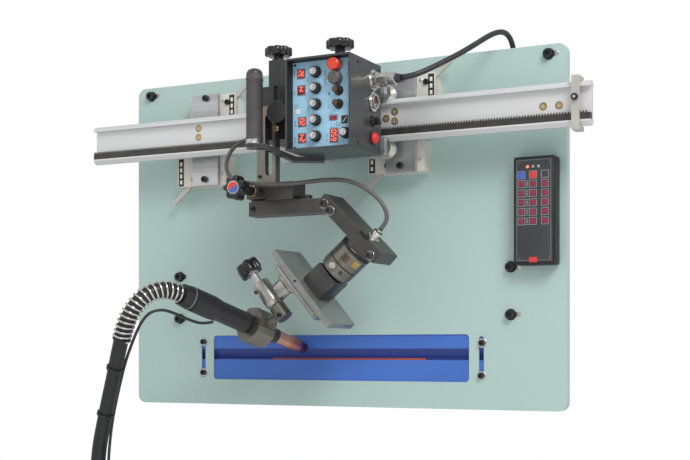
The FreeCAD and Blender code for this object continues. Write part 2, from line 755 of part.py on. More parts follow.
# ---- handle ----
def make_grip():
    """Ribbed sleeve with a domed cap."""
    x, h = GRIP_X, GRIP_OUT
    top = GRIP_LOW + GRIP_H
    sleeve = cyl_z(GRIP_R, x, h, GRIP_LOW, top - GRIP_DOME)
    ball_r = (GRIP_R ** 2 + GRIP_DOME ** 2) / (2 * GRIP_DOME)
    dome = Part.makeSphere(ball_r, V(x, out(h), top - ball_r))
    keep = cyl_z(GRIP_R, x, h, top - GRIP_DOME, top)
    return fuse([sleeve, dome.common(keep)])


def make_arm():
    """Bent flat bar from under the box to the grip, with a collar."""
    top = GRIP_LOW - 8
    low = BOX_Z - BOX_H / 2
    run = math.hypot(ARM_END_X - GRIP_X, ARM_END_OUT - GRIP_OUT)
    bend = run - ARM_FOOT
    end = run + ARM_W / 2
    profile = [(-ARM_W / 2, top), (18, top), (bend, low), (end, low), (end, low - ARM_T),
               (bend - 4, low - ARM_T), (15, top - ARM_T), (-ARM_W / 2, top - ARM_T)]
    bar = Part.Face(Part.makePolygon([V(u, -ARM_W / 2, z) for u, z in profile + profile[:1]]))
    bar = bar.extrude(V(0, ARM_W, 0))
    heading = math.degrees(math.atan2(out(ARM_END_OUT) - out(GRIP_OUT), ARM_END_X - GRIP_X))
    bar.rotate(V(0, 0, 0), V(0, 0, 1), heading)
    bar.translate(V(GRIP_X, out(GRIP_OUT), 0))
    collar = cyl_z(GRIP_R - 1, GRIP_X, GRIP_OUT, top - ARM_T, GRIP_LOW)
    return fuse([bar, collar])


# ---- height slide ----
def tongue_edges():
    right = COLUMN_X + COLUMN_W / 2
    return right - TONGUE_W - 2, right - 2


def make_slide_housing():
    """Block beside the control box: screw bore, guide groove and pivot disc."""
    front = COLUMN_BACK - SEAT
    x0 = CHASSIS_LEFT
    x1 = x0 + HOUSING_W
    body = box(x0, x1, CHASSIS_FRONT, front, HOUSING_LOW, HOUSING_LOW + HOUSING_H)
    neck = box(SCREW_X - 12, SCREW_X + 12, SCREW_OUT - 12, SCREW_OUT + 12, HOUSING_LOW + HOUSING_H, NECK_TOP)
    link = box(x1, CAR_X - BOX_W / 2 + 4, CHASSIS_FRONT, GEARBOX_FRONT - 10,
               HOUSING_LOW + 10, HOUSING_LOW + HOUSING_H)
    disc_x = COLUMN_X + COLUMN_W / 2 + 7
    post = cyl_y(5, disc_x, DISC_Z, front, COLUMN_FRONT + 2)
    disc = cyl_y(DISC_R, disc_x, DISC_Z, COLUMN_FRONT + 2, COLUMN_FRONT + 10)
    housing = fuse([body, neck, link])
    g0, g1 = tongue_edges()
    groove = box(g0 - SLIDE_CLEAR, g1 + SLIDE_CLEAR, front - TONGUE_D - SLIDE_CLEAR, front + 1,
                 HOUSING_LOW - 1, HOUSING_LOW + HOUSING_H + 1)
    bore = cyl_z(SCREW_R + RUN_CLEAR, SCREW_X, SCREW_OUT, HOUSING_LOW + 8, NECK_TOP + 1)
    housing = housing.cut(groove).cut(bore)
    return fuse([housing, post, disc])


def make_column():
    """Slotted steel plate with the tongue that runs in the housing."""
    x0 = COLUMN_X - COLUMN_W / 2
    x1 = COLUMN_X + COLUMN_W / 2
    plate = box(x0, x1, COLUMN_BACK, COLUMN_FRONT, COLUMN_LOW, COLUMN_LOW + COLUMN_H)
    g0, g1 = tongue_edges()
    tongue = box(g0, g1, COLUMN_BACK - SEAT - TONGUE_D, COLUMN_BACK, COLUMN_LOW, COLUMN_LOW + COLUMN_H)
    slot_z = COLUMN_LOW + COLUMN_H / 2 - 1
    slot = rounded(COLUMN_SLOT_W, COLUMN_SLOT_L, COLUMN_SLOT_W / 2 - 0.01, COLUMN_X + COLUMN_SLOT_SHIFT, slot_z,
                   COLUMN_BACK - 1, COLUMN_FRONT + 1)
    return fuse([plate, tongue]).cut(slot)


def make_clamp_block():
    """Block under the column, grooved for the cross bar, with the star knob's lug."""
    x0 = COLUMN_X - COLUMN_W / 2 + BLOCK_SET
    back = BAR_FRONT - BAR_D - 3
    block = box(x0, x0 + BLOCK_L, back, COLUMN_FRONT, BLOCK_LOW, COLUMN_LOW)
    lug = box(STAR_X - 12, x0, COLUMN_FRONT - 28, COLUMN_FRONT, BLOCK_LOW + 3, COLUMN_LOW - 4)
    groove_z = BAR_TOP + BAR_TONGUE_H + SEAT
    middle = BAR_FRONT - BAR_D / 2
    half = BAR_TONGUE_W / 2 + SLIDE_CLEAR
    groove = box(STAR_X - 13, x0 + BLOCK_L + 1, middle - half, middle + half, BLOCK_LOW - 1, groove_z)
    bore = cyl_y(SCREW_R + RUN_CLEAR, STAR_X, star_z(), COLUMN_FRONT - 20, COLUMN_FRONT + 1)
    return fuse([block, lug]).cut(groove).cut(bore)


def star_z():
    return BLOCK_LOW + STAR_RISE


def make_star_knob():
    """Seven-lobed knob on a long screw."""
    z = star_z()
    h0 = COLUMN_FRONT + STAR_OUT
    knob = lobed(7, STAR_R, 6.0, STAR_H, V(STAR_X, out(h0), z), V(0, -1, 0))
    neck = cyl_y(8.5, STAR_X, z, COLUMN_FRONT + SEAT, h0)
    shaft = cyl_y(SCREW_R, STAR_X, z, COLUMN_FRONT - 19, COLUMN_FRONT + SEAT)
    return fuse([knob, neck, shaft])


# ---- cross bar and link ----
def link_frame():
    """Unit vectors along and across the link, in X and Z."""
    a = math.radians(LINK_ANGLE)
    return V(math.cos(a), 0, -math.sin(a)), V(math.sin(a), 0, math.cos(a))


def link_point(along, across):
    e1, e2 = link_frame()
    p = V(LINK_X, 0, LINK_Z) + e1 * along + e2 * across
    return p.x, p.z


def make_cross_bar():
    """Bar with a tongue on top; its right end follows the link's two sides round its corner."""
    low = BAR_TOP - BAR_H
    e1, e2 = link_frame()
    front = BAR_FRONT
    back = BAR_FRONT - BAR_D
    foot = LINK_X + (low - LINK_Z) / e1.z * e1.x
    head = LINK_X + (BAR_TOP - LINK_Z) / e2.z * e2.x
    bar = slab([(BAR_LEFT, low), (foot, low), (LINK_X, LINK_Z), (head, BAR_TOP), (BAR_LEFT, BAR_TOP)],
               back, front)
    middle = (front + back) / 2
    tongue = box(BAR_LEFT, BAR_LEFT + BAR_TONGUE_L, middle - BAR_TONGUE_W / 2, middle + BAR_TONGUE_W / 2,
                 BAR_TOP, BAR_TOP + BAR_TONGUE_H)
    return fuse([bar, tongue])


def make_link_seat():
    """Round seat for the weaving unit, cut to the link's slope."""
    origin = unit_point(BARREL_SEAT - 40, 0, UNIT_OUT)
    seat = Part.makeCylinder(BARREL_R - BARREL_GROOVE, 40, origin, unit_axes()[0])
    reach = 2 * BARREL_R
    above = [link_point(-reach, 0), link_point(LINK_L + reach, 0), link_point(LINK_L + reach, 3 * reach),
             link_point(-reach, 3 * reach)]
    return seat.cut(slab(above, UNIT_OUT - reach, UNIT_OUT + reach))


def make_link():
    """Slanted arm with rounded ends, the seat of the weaving unit and the lead's connector."""
    corners = [link_point(0, 0), link_point(LINK_L, 0), link_point(LINK_L, LINK_W), link_point(0, LINK_W)]
    arm = slab(corners, BAR_FRONT - LINK_D, BAR_FRONT)
    edges = [e for e in arm.Edges if abs(e.tangentAt(e.FirstParameter).y) > 0.9]
    arm = arm.makeFillet(4.0, edges)
    e1, e2 = link_frame()
    x, z = link_point(GLAND_ALONG, LINK_W)
    base = V(x, out(GLAND_OUT), z)
    gland = turned([(0, 0), (10, 0), (10, 4), (6.5, 4), (6.5, 10), (8, 11), (8, 17), (4.5, 18),
                    (4.5, GLAND_L), (0, GLAND_L)], base, e2, e1)
    return fuse([arm, gland, make_link_seat()])


# ---- weaving unit, in its own tilted frame ----
def unit_point(t, p, h):
    """Point at t down the barrel's axis, p along the slide, h in front of the panel."""
    a = math.radians(UNIT_ANGLE)
    axis = V(-math.cos(a), 0, -math.sin(a))
    along = V(math.sin(a), 0, -math.cos(a))
    x0, z0 = link_point(UNIT_ALONG, 0)
    q = V(x0, 0, z0) + axis * t + along * p
    return V(q.x, out(h), q.z)


def unit_axes():
    a = math.radians(UNIT_ANGLE)
    return V(-math.cos(a), 0, -math.sin(a)), V(math.sin(a), 0, -math.cos(a))


def unit_block(t0, t1, p0, p1, h0, h1):
    corners = [unit_point(t0, p0, h0), unit_point(t1, p0, h0), unit_point(t1, p1, h0), unit_point(t0, p1, h0)]
    return Part.Face(Part.makePolygon(corners + corners[:1])).extrude(V(0, h0 - h1, 0))


def unit_turned(profile, p, h, t=0.0):
    axis, along = unit_axes()
    return turned(profile, unit_point(t, p, h), axis, along)


def make_barrel():
    """Two rings with grooves between them, and the square motor."""
    r = BARREL_R
    g = r - BARREL_GROOVE
    t0 = BARREL_SEAT + SEAT
    profile = [(0, t0), (r, t0), (r, 30), (g, 30), (g, 32), (r, 32), (r, 51), (g, 51), (g, BARREL_L), (0, BARREL_L)]
    rings = unit_turned(profile, 0, UNIT_OUT)
    half = MOTOR_W / 2
    motor = unit_block(BARREL_L, BARREL_L + MOTOR_L, -half, half, UNIT_OUT - half, UNIT_OUT + half)
    axis = unit_axes()[0]
    long_edges = [e for e in motor.Edges
                  if abs(abs(e.tangentAt(e.FirstParameter).dot(axis)) - 1) < 1e-6]
    motor = motor.makeChamfer(5.0, long_edges)
    return fuse([rings, motor])


def guide_dovetail(low, high, clear, p0, p1):
    """Dovetail bar between two heights over the base's face, wider at its top."""
    face = BARREL_L + MOTOR_L + BASE_T
    wide = DOVE_W - DOVE_UNDERCUT * (1 - high / DOVE_D) + clear
    narrow = DOVE_W - DOVE_UNDERCUT * (1 - low / DOVE_D) + clear
    section = [(low, -narrow), (low, narrow), (high, wide), (high, -wide)]
    points = [unit_point(face + t, p0, UNIT_OUT + h) for t, h in section]
    along = unit_axes()[1]
    return Part.Face(Part.makePolygon(points + points[:1])).extrude(along * (p1 - p0))


def make_slide_base():
    t0 = BARREL_L + MOTOR_L
    base = unit_block(t0, t0 + BASE_T, BASE_P0, BASE_P0 + BASE_L, UNIT_OUT - BASE_W / 2, UNIT_OUT + BASE_W / 2)
    corner = [e for e in base.Edges
              if abs(abs(e.tangentAt(e.FirstParameter).dot(unit_axes()[0])) - 1) < 1e-6]
    base = base.makeFillet(4.0, corner)
    rib = guide_dovetail(0, DOVE_D, 0, BASE_P0 + 10, BASE_P0 + BASE_L - 10)
    return fuse([base, rib])


def carrier_face():
    """Distance along the unit's axis of the carrier's outer face."""
    return BARREL_L + MOTOR_L + BASE_T + SEAT + CARRIER_T


def make_carrier():
    """Sliding plate with its dovetail groove and stepped edges."""
    t1 = carrier_face()
    t0 = t1 - CARRIER_T
    p0 = CARRIER_P0
    p1 = p0 + CARRIER_L
    half = BASE_W / 2 - 4
    plate = unit_block(t0, t1, p0, p1, UNIT_OUT - half, UNIT_OUT + half)
    for side in (-1, 1):
        h0, h1 = sorted((UNIT_OUT + side * (half + 1), UNIT_OUT + side * (half - CARRIER_STEP)))
        plate = plate.cut(unit_block(t1 - CARRIER_STEP, t1 + 1, p0 - 1, p1 + 1, h0, h1))
    groove = guide_dovetail(-SEAT, DOVE_D + SEAT, SLIDE_CLEAR, p0 - 1, p1 + 1)
    return plate.cut(groove)


# ---- torch holder ----
def make_holder():
    """Bracket on the carrier that carries the round swivel housing."""
    t_face = carrier_face()
    p1 = HOLDER_P0 + HOLDER_L
    half = HOLDER_R + HOLDER_FOOT_W / 10
    foot_half = HOLDER_FOOT_W / 2
    neck_end = HOLDER_DROP - HOLDER_R / 2
    bracket = unit_block(t_face, neck_end, HOLDER_P0 + HOLDER_R, p1, HOLDER_OUT - half, HOLDER_OUT + half)
    _, along = unit_axes()
    origin = unit_point(HOLDER_DROP, HOLDER_P0, HOLDER_OUT)
    housing = Part.makeCylinder(HOLDER_R, HOLDER_L, origin, along)
    bore = Part.makeCylinder(SCREW_R + RUN_CLEAR, HOLDER_L + 2, origin - along, along)
    foot = unit_block(t_face, t_face + 4, HOLDER_P0 + 6, p1 + 12, HOLDER_OUT - foot_half, HOLDER_OUT + foot_half)
    return fuse([bracket, housing, foot]).cut(bore)


def make_holder_knob():
    """Six-lobed knob whose screw runs through the housing."""
    axis, along = unit_axes()
    neck = unit_point(HOLDER_DROP, HOLDER_P0 - SEAT, HOLDER_OUT)
    stem = Part.makeCylinder(7.0, 22, neck, along * -1)
    head = lobed(6, STAR_R, 6.0, STAR_H - 2, neck - along * 22, along * -1)
    shaft = Part.makeCylinder(SCREW_R, HOLDER_L - 2, neck, along)
    return fuse([stem, head, shaft])


# ---- torch, measured from its tip ----
def torch_axis():
    u = V(*TORCH_DIR)
    u.normalize()
    side = V(0, 0, 1).cross(u)
    side.normalize()
    return u, side


def torch_point(s):
    u, _ = torch_axis()
    return V(TORCH_X, out(TORCH_OUT), TORCH_Z) + u * s


def torch_turned(profile):
    u, side = torch_axis()
    return turned(profile, torch_point(0), u, side)


def make_nozzle():
    r = NOZZLE_R
    end = NOZZLE_L + INSULATOR_L
    return torch_turned([(r - 4, 0), (r - 2, 0), (r, 14), (r, NOZZLE_L), (INSULATOR_R, NOZZLE_L),
                         (INSULATOR_R, end), (0, end), (0, 4), (3.5, 4), (3.5, 22), (r - 4, 22)])


def make_handle():
    s0 = NOZZLE_L + INSULATOR_L
    s1 = HANDLE_S
    s2 = s1 + HANDLE_L
    r0, r1 = HANDLE_R, HANDLE_END_R
    return torch_turned([(0, s0), (NECK_R, s0), (NECK_R, s1 - 2), (r0 - 2, s1 - 2), (r0, s1 + 4), (r0, s1 + 60),
                         (r1, s1 + 80), (r1, s2 - 24), (r1 - 1.5, s2 - 24), (r1 - 1.5, s2 - 20),
                         (r1, s2 - 20), (r1 - 2, s2), (0, s2)])


def make_clamp():
    """Eight-sided clamp round the torch, on an arm from the swivel's boss."""
    u, side = torch_axis()
    upward = u.cross(side)
    centre = torch_point(CLAMP_S)
    points = []
    for k in range(8):
        a = math.radians(22.5 + 45 * k)
        points.append(centre + side * (CLAMP_R * math.cos(a)) + upward * (CLAMP_R * math.sin(a)))
    ring = Part.Face(Part.makePolygon(points + points[:1])).extrude(u * CLAMP_L)
    _, along = unit_axes()
    end = unit_point(HOLDER_DROP, HOLDER_P0 + HOLDER_L + SEAT, HOLDER_OUT)
    boss = Part.makeCylinder(HOLDER_R, CLAMP_BOSS, end, along)
    start = end + along * (CLAMP_BOSS - CLAMP_ARM_R)
    reach = torch_point(CLAMP_S + CLAMP_L / 2) - start
    arm = Part.makeCylinder(CLAMP_ARM_R, reach.Length - NECK_R, start, reach)
    whole = fuse([ring, boss, arm])
    bore = Part.makeCylinder(NECK_R + RUN_CLEAR, CLAMP_L + 60, torch_point(CLAMP_S - 30), u)
    return whole.cut(bore)


# ---- cords ----
def rounded_path(points):
    """Straight runs joined by arcs as large as each pair of runs allows."""
    edges = []
    radii = []
    start = points[0]
    for k in range(1, len(points) - 1):
        before = points[k - 1] - points[k]
        after = points[k + 1] - points[k]
        shorter = min(before.Length, after.Length)
        before.normalize()
        after.normalize()
        turn = math.pi - before.getAngle(after)
        radius = 0.45 * shorter / math.tan(turn / 2)
        reach = 0.45 * shorter
        radii.append(round(radius, 1))
        a = points[k] + before * reach
        b = points[k] + after * reach
        bisector = before + after
        bisector.normalize()
        centre = points[k] + bisector * math.hypot(radius, reach)
        middle = centre - bisector * radius
        edges.append(Part.LineSegment(start, a).toShape())
        edges.append(Part.Arc(a, middle, b).toShape())
        start = b
    edges.append(Part.LineSegment(start, points[-1]).toShape())
    return Part.Wire(edges), radii


def tube(name, points, r):
    path, radii = rounded_path(points)
    heading = points[1] - points[0]
    circle = Part.Wire([Part.Circle(points[0], heading, r).toShape()])
    solid = path.makePipeShell([circle], True, False)
    expect = math.pi * r * r * path.Length
    print(name, "length", round(path.Length), "radii", radii, "volume ratio", round(solid.Volume / expect, 4))
    return solid


def ring(centre, axis, across, mid_r, half_a, half_r):
    """Closed outer shape of a coil: a ring of rounded box section."""
    profile = [(mid_r - half_r, -half_a + 3), (mid_r - half_r + 3, -half_a), (mid_r + half_r - 3, -half_a),
               (mid_r + half_r, -half_a + 3), (mid_r + half_r, half_a - 3), (mid_r + half_r - 3, half_a),
               (mid_r - half_r + 3, half_a), (mid_r - half_r, half_a - 3)]
    return turned(profile, centre, axis, across)


def places(points):
    return [V(x, out(h), z) for x, h, z in points]


def hose_start():
    """Handle's end, and the first bend's corner straight behind it."""
    end = HANDLE_S + HANDLE_L
    return [torch_point(end), torch_point(end + HOSE_STRAIGHT)]


def make_hose():
    """Hose from the handle's end to the coil, and its straight tail at the coil's foot."""
    coil_end = V(HOSE_ROUTE[-1][0], out(HOSE_ROUTE[-1][1]), COIL_Z + COIL_R / 2)
    run = tube("hose", hose_start() + places(HOSE_ROUTE) + [coil_end], HOSE_R)
    foot = V(COIL_X + COIL_TAIL / 2, out(COIL_OUT - HOSE_R * 2), COIL_Z - COIL_R)
    tail = Part.makeCylinder(HOSE_R, COIL_TAIL / 2, foot, V(1, 0, 0))
    return group([run, tail])


def make_spring():
    """Guard over the hose's first bend."""
    start = hose_start()
    path, _ = rounded_path(start + places(HOSE_ROUTE[:SPRING_POINTS]))
    shells = []
    for r in (SPRING_R, HOSE_R + SEAT):
        circle = Part.Wire([Part.Circle(start[0], start[1] - start[0], r).toShape()])
        shells.append(path.makePipeShell([circle], True, False))
    return shells[0].cut(shells[1])


def make_hose_coil():
    centre = V(COIL_X, out(COIL_OUT), COIL_Z)
    return ring(centre, V(0, -1, 0), V(1, 0, 0), COIL_R, HOSE_R * 3 + 1.5, HOSE_R + 1)


def make_hose_connector():
    base = V(COIL_X + COIL_TAIL, out(COIL_OUT - HOSE_R * 2), COIL_Z - COIL_R)
    return turned([(0, 0), (15, 0), (18, 22), (22, 24), (22, 62), (19, 64), (19, 84), (8, 84), (8, 96),
                   (0, 96)], base, V(1, 0, 0), V(0, 0, 1))


def make_lead():
    """Signal lead from the handle's underside, along the hose and into its coil."""
    u, _ = torch_axis()
    start = torch_point(LEAD_START) - V(0, 0, HANDLE_END_R + 2) + u * 6
    coil_end = V(LEAD_ROUTE[-1][0], out(LEAD_ROUTE[-1][1]), LEAD_ROUTE[-1][2] - 36)
    return tube("lead", [start] + places(LEAD_ROUTE) + [coil_end], LEAD_R)


def make_control_cable():
    start = V(CAR_X + BOX_W / 2 + PLUG_L + CABLE_GAP, out(SIDE_OUT), PLUG_Z)
    foot = V(CONTROL_COIL_X - CONTROL_TAIL / 2, out(CONTROL_COIL_OUT), CONTROL_COIL_Z - CONTROL_COIL_R)
    run = tube("control", [start] + places(CONTROL_ROUTE), CONTROL_R)
    tail = Part.makeCylinder(CONTROL_R, CONTROL_TAIL / 2, foot, V(-1, 0, 0))
    return group([run, tail])


def make_control_coil():
    centre = V(CONTROL_COIL_X, out(CONTROL_COIL_OUT), CONTROL_COIL_Z)
    half = CONTROL_R * 3 + 1
    return ring(centre, V(0, -1, 0), V(1, 0, 0), CONTROL_COIL_R, half, half)


def make_control_plug():
    base = V(CONTROL_COIL_X - CONTROL_TAIL, out(CONTROL_COIL_OUT), CONTROL_COIL_Z - CONTROL_COIL_R)
    return turned([(0, 0), (6, 0), (8, 16), (12, 17), (12, 34), (10, 35), (10, 48), (0, 48)],
                  base, V(-1, 0, 0), V(0, 0, 1))


def make_osc_lead():
    x, z = link_point(GLAND_ALONG, LINK_W)
    _, e2 = link_frame()
    end = V(x, out(GLAND_OUT), z) + e2 * (GLAND_L + SEAT)
    start = V(CHASSIS_LEFT - SEAT, out(OSC_START), OSC_ROUTE[0][2])
    return tube("oscillator lead", [start] + places(OSC_ROUTE) + [end], OSC_R)


# ---- pendant ----
def make_pendant():
    """Hand control with a rounded case and a bevelled face."""
    body = rounded(PENDANT_W, PENDANT_H, 5, PENDANT_X, PENDANT_Z, SEAT, PENDANT_T)
    front = [e for e in body.Edges if abs(e.BoundBox.YMin - out(PENDANT_T)) < 0.01
             and abs(e.BoundBox.YMax - out(PENDANT_T)) < 0.01]
    return body.makeChamfer(2.0, front)


def build():
    save("back_panel", make_panel())
    save("panel_screws", make_screws())
    save("panel_sleeves", make_sleeves())
    save("work_plates", group([make_work_plate(True), make_work_plate(False)]))
    save("bracket_plates", make_brackets())
    save("magnet_blocks", make_magnets())
    for x, side in zip(MOUNT_X, ("left", "right")):
        save(side + "_upper_lever", make_lever(x, True))
        save(side + "_lower_lever", make_lever(x, False))
    save("rail", make_rail())
    save("rack", make_rack())
    save("rail_stop", make_stop())
    save("carriage_chassis", make_chassis())
    names = ("upper_left_wheel", "upper_right_wheel", "lower_left_wheel", "lower_right_wheel")
    for name, (x, z) in zip(names, wheel_places()):
        save(name, make_wheel(x, z))
    save("drive_pinion", make_pinion())
    save("control_box", make_control_box())
    save("face_plate", make_face_plate())
    for k, (x, z) in enumerate(dial_places()):
        save("dial_knob_%d" % (k + 1), make_dial(x, z))
    for name, (x, z) in zip(("red_button", "grey_button"), button_places()):
        save(name, make_button(x, z))
    for name, (x, z) in zip(("upper_toggle", "lower_toggle"), toggle_places()):
        save(name, make_toggle(x, z))
    save("side_fittings", make_side_fittings())
    box_top = BOX_Z + BOX_H / 2
    save("clutch_knob", fluted_knob(CLUTCH_X, CLUTCH_OUT, box_top + SEAT, box_top - 18))
    save("handle_grip", make_grip())
    save("handle_arm", make_arm())
    save("slide_housing", make_slide_housing())
    save("height_knob", fluted_knob(SCREW_X, SCREW_OUT, NECK_TOP + SEAT, HOUSING_LOW + 10))
    save("slide_column", make_column())
    save("clamp_block", make_clamp_block())
    save("star_knob", make_star_knob())
    save("cross_bar", make_cross_bar())
    save("angled_link", make_link())
    save("weaver_barrel", make_barrel())
    save("slide_base", make_slide_base())
    save("slide_carrier", make_carrier())
    save("torch_holder", make_holder())
    save("holder_knob", make_holder_knob())
    save("torch_clamp", make_clamp())
    save("torch_handle", make_handle())
    save("torch_nozzle", make_nozzle())
    save("hose_spring", make_spring())
    save("torch_hose", make_hose())
    save("hose_coil", make_hose_coil())
    save("hose_connector", make_hose_connector())
    save("signal_lead", make_lead())
    save("oscillator_lead", make_osc_lead())
    save("control_cable", make_control_cable())
    save("control_coil", make_control_coil())
    save("control_plug", make_control_plug())
    save("pendant", make_pendant())


build()
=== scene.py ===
import json
import math

import bmesh
import bpy
from mathutils import Matrix, Vector


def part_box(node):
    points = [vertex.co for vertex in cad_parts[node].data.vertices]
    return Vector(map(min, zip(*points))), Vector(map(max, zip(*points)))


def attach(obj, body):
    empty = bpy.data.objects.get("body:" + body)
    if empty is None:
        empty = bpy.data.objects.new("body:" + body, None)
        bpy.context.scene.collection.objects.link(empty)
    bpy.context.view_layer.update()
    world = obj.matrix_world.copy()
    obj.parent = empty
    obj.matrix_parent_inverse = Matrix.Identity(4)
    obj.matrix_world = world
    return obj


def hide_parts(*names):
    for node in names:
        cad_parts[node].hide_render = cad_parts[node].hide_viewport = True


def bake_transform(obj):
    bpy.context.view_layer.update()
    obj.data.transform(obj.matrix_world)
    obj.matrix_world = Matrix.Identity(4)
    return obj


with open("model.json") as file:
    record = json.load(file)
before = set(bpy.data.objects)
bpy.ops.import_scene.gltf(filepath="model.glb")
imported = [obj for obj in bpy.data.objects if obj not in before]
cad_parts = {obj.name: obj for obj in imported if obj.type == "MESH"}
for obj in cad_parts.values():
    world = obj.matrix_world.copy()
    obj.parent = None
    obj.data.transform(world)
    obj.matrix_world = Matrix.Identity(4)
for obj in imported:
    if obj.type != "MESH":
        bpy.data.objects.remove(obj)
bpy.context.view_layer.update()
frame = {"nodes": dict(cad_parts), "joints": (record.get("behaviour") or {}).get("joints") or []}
NODES = frame["nodes"]

# Metres. X runs along the rail, Z is up, and the panel's face looks along -Y.
# "out" is a distance in front of the panel's face.
FACE_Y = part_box("back_panel")[0].y
FRONT = Vector((0, -1, 0))
UP = Vector((0, 0, 1))
RIGHT = Vector((1, 0, 0))


def at(x, out, z):
    """Point at x and z, out from the panel's face."""
    return Vector((x, FACE_Y - out, z))


def middle(node):
    low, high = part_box(node)
    return (low + high) / 2


# ---- camera ----
def set_camera():
    """Camera to the right of the panel's middle and a little below it, level, with its frame shifted up."""
    data = bpy.data.cameras.new("view")
    data.sensor_width = 36.0
    data.lens = 66.55
    data.shift_y = 0.1727
    data.clip_end = 20.0
    camera = bpy.data.objects.new("view", data)
    camera.location = (1.0351, -2.0851, -0.0968)
    camera.rotation_euler = (math.radians(90), 0, math.radians(26.79))
    bpy.context.scene.collection.objects.link(camera)
    bpy.context.scene.camera = camera


# ---- shader helpers and shared groups ----
def add_node(tree, kind, settings=None, **attributes):
    """New node with its attributes set and plain values on its input sockets."""
    node = tree.nodes.new(kind)
    for name, value in attributes.items():
        setattr(node, name, value)
    for socket, value in (settings or {}).items():
        node.inputs[socket].default_value = value
    return node


def wire(tree, *links):
    """Each link is (from node, its output, to node, its input)."""
    for source, output, sink, entry in links:
        tree.links.new(source.outputs[output], sink.inputs[entry])


def new_group(name, scalar, value, result):
    """Group with a Vector and one number coming in, and one number going out."""
    group = bpy.data.node_groups.new(name, "ShaderNodeTree")
    group.interface.new_socket(name="Vector", in_out="INPUT", socket_type="NodeSocketVector")
    group.interface.new_socket(name=scalar, in_out="INPUT", socket_type="NodeSocketFloat").default_value = value
    group.interface.new_socket(name=result, in_out="OUTPUT", socket_type="NodeSocketFloat")
    return group, group.nodes.new("NodeGroupInput"), group.nodes.new("NodeGroupOutput")


def build_mottle():
    """Soft cloudy variation from 0 to 1."""
    group, source, sink = new_group("Mottle", "Scale", 20.0, "Value")
    noise = add_node(group, "ShaderNodeTexNoise", {"Detail": 5.0, "Roughness": 0.6})
    spread = add_node(group, "ShaderNodeMapRange", {"From Min": 0.3, "From Max": 0.7})
    wire(group, (source, "Vector", noise, "Vector"), (source, "Scale", noise, "Scale"),
         (noise, "Fac", spread, "Value"), (spread, "Result", sink, "Value"))
    return group


def build_edge_wear():
    """Mask of outer edges, broken up by noise."""
    group, source, sink = new_group("EdgeWear", "Radius", 0.001, "Mask")
    bevel = add_node(group, "ShaderNodeBevel", samples=4)
    geometry = add_node(group, "ShaderNodeNewGeometry")
    dot = add_node(group, "ShaderNodeVectorMath", operation="DOT_PRODUCT")
    edge = add_node(group, "ShaderNodeMapRange", {"From Min": 0.99, "From Max": 0.80})
    noise = add_node(group, "ShaderNodeTexNoise", {"Scale": 260.0, "Detail": 3.0})
    broken = add_node(group, "ShaderNodeMath", operation="MULTIPLY")
    wire(group, (source, "Radius", bevel, "Radius"), (source, "Vector", noise, "Vector"),
         (bevel, "Normal", dot, 0), (geometry, "Normal", dot, 1), (dot, "Value", edge, "Value"),
         (edge, "Result", broken, 0), (noise, "Fac", broken, 1), (broken, "Value", sink, "Mask"))
    return group


def build_relief():
    """Height of a fine grain."""
    group, source, sink = new_group("Relief", "Scale", 900.0, "Height")
    noise = add_node(group, "ShaderNodeTexNoise", {"Detail": 2.0})
    wire(group, (source, "Vector", noise, "Vector"), (source, "Scale", noise, "Scale"), (noise, "Fac", sink, "Height"))
    return group


MOTTLE = build_mottle()
EDGE_WEAR = build_edge_wear()
RELIEF = build_relief()


def shade(color, factor):
    """Colour made lighter or darker, with full alpha."""
    return tuple(min(1.0, c * factor) for c in color) + (1.0,)


def finish(name, color, rough, metallic=0.0, mottle=0.10, scale=22.0, stretch=(1, 1, 1),
           grain=900.0, depth=0.00004, worn=None, wear_radius=0.0012, coat=0.0):
    """Painted, plastic or metal surface: colour variation, grain and worn edges on Object coordinates."""
    material = bpy.data.materials.new(name)
    material.use_nodes = True
    tree = material.node_tree
    shader = tree.nodes["Principled BSDF"]
    shader.inputs["Metallic"].default_value = metallic
    shader.inputs["Coat Weight"].default_value = coat
    shader.inputs["Coat Roughness"].default_value = 0.12
    place = add_node(tree, "ShaderNodeTexCoord")
    mapping = add_node(tree, "ShaderNodeMapping", {"Scale": stretch})
    cloud = add_node(tree, "ShaderNodeGroup", {"Scale": scale}, node_tree=MOTTLE)
    tint = add_node(tree, "ShaderNodeMix", {"A": shade(color, 1 - mottle), "B": shade(color, 1 + mottle)},
                    data_type="RGBA")
    wire(tree, (place, "Object", mapping, "Vector"), (mapping, "Vector", cloud, "Vector"),
         (cloud, "Value", tint, "Factor"))
    base = tint
    if worn:
        edge = add_node(tree, "ShaderNodeGroup", {"Radius": wear_radius}, node_tree=EDGE_WEAR)
        base = add_node(tree, "ShaderNodeMix", {"B": (*worn, 1.0)}, data_type="RGBA")
        wire(tree, (place, "Object", edge, "Vector"), (edge, "Mask", base, "Factor"), (tint, "Result", base, "A"))
    gloss = add_node(tree, "ShaderNodeMapRange", {"To Min": max(0.04, rough * 0.85), "To Max": min(1.0, rough * 1.18)})
    relief = add_node(tree, "ShaderNodeGroup", {"Scale": grain}, node_tree=RELIEF)
    bump = add_node(tree, "ShaderNodeBump", {"Strength": 0.6, "Distance": depth})
    wire(tree, (base, "Result", shader, "Base Color"), (cloud, "Value", gloss, "Value"),
         (gloss, "Result", shader, "Roughness"), (mapping, "Vector", relief, "Vector"),
         (relief, "Height", bump, "Height"), (bump, "Normal", shader, "Normal"))
    return material


def glow(name, color, strength):
    """Lit display segment or lamp: the finish of red plastic with light of its own."""
    material = finish(name, color, 0.3, mottle=0.05, scale=400.0)
    shader = material.node_tree.nodes["Principled BSDF"]
    shader.inputs["Emission Color"].default_value = (*color, 1.0)
    shader.inputs["Emission Strength"].default_value = strength
    return material


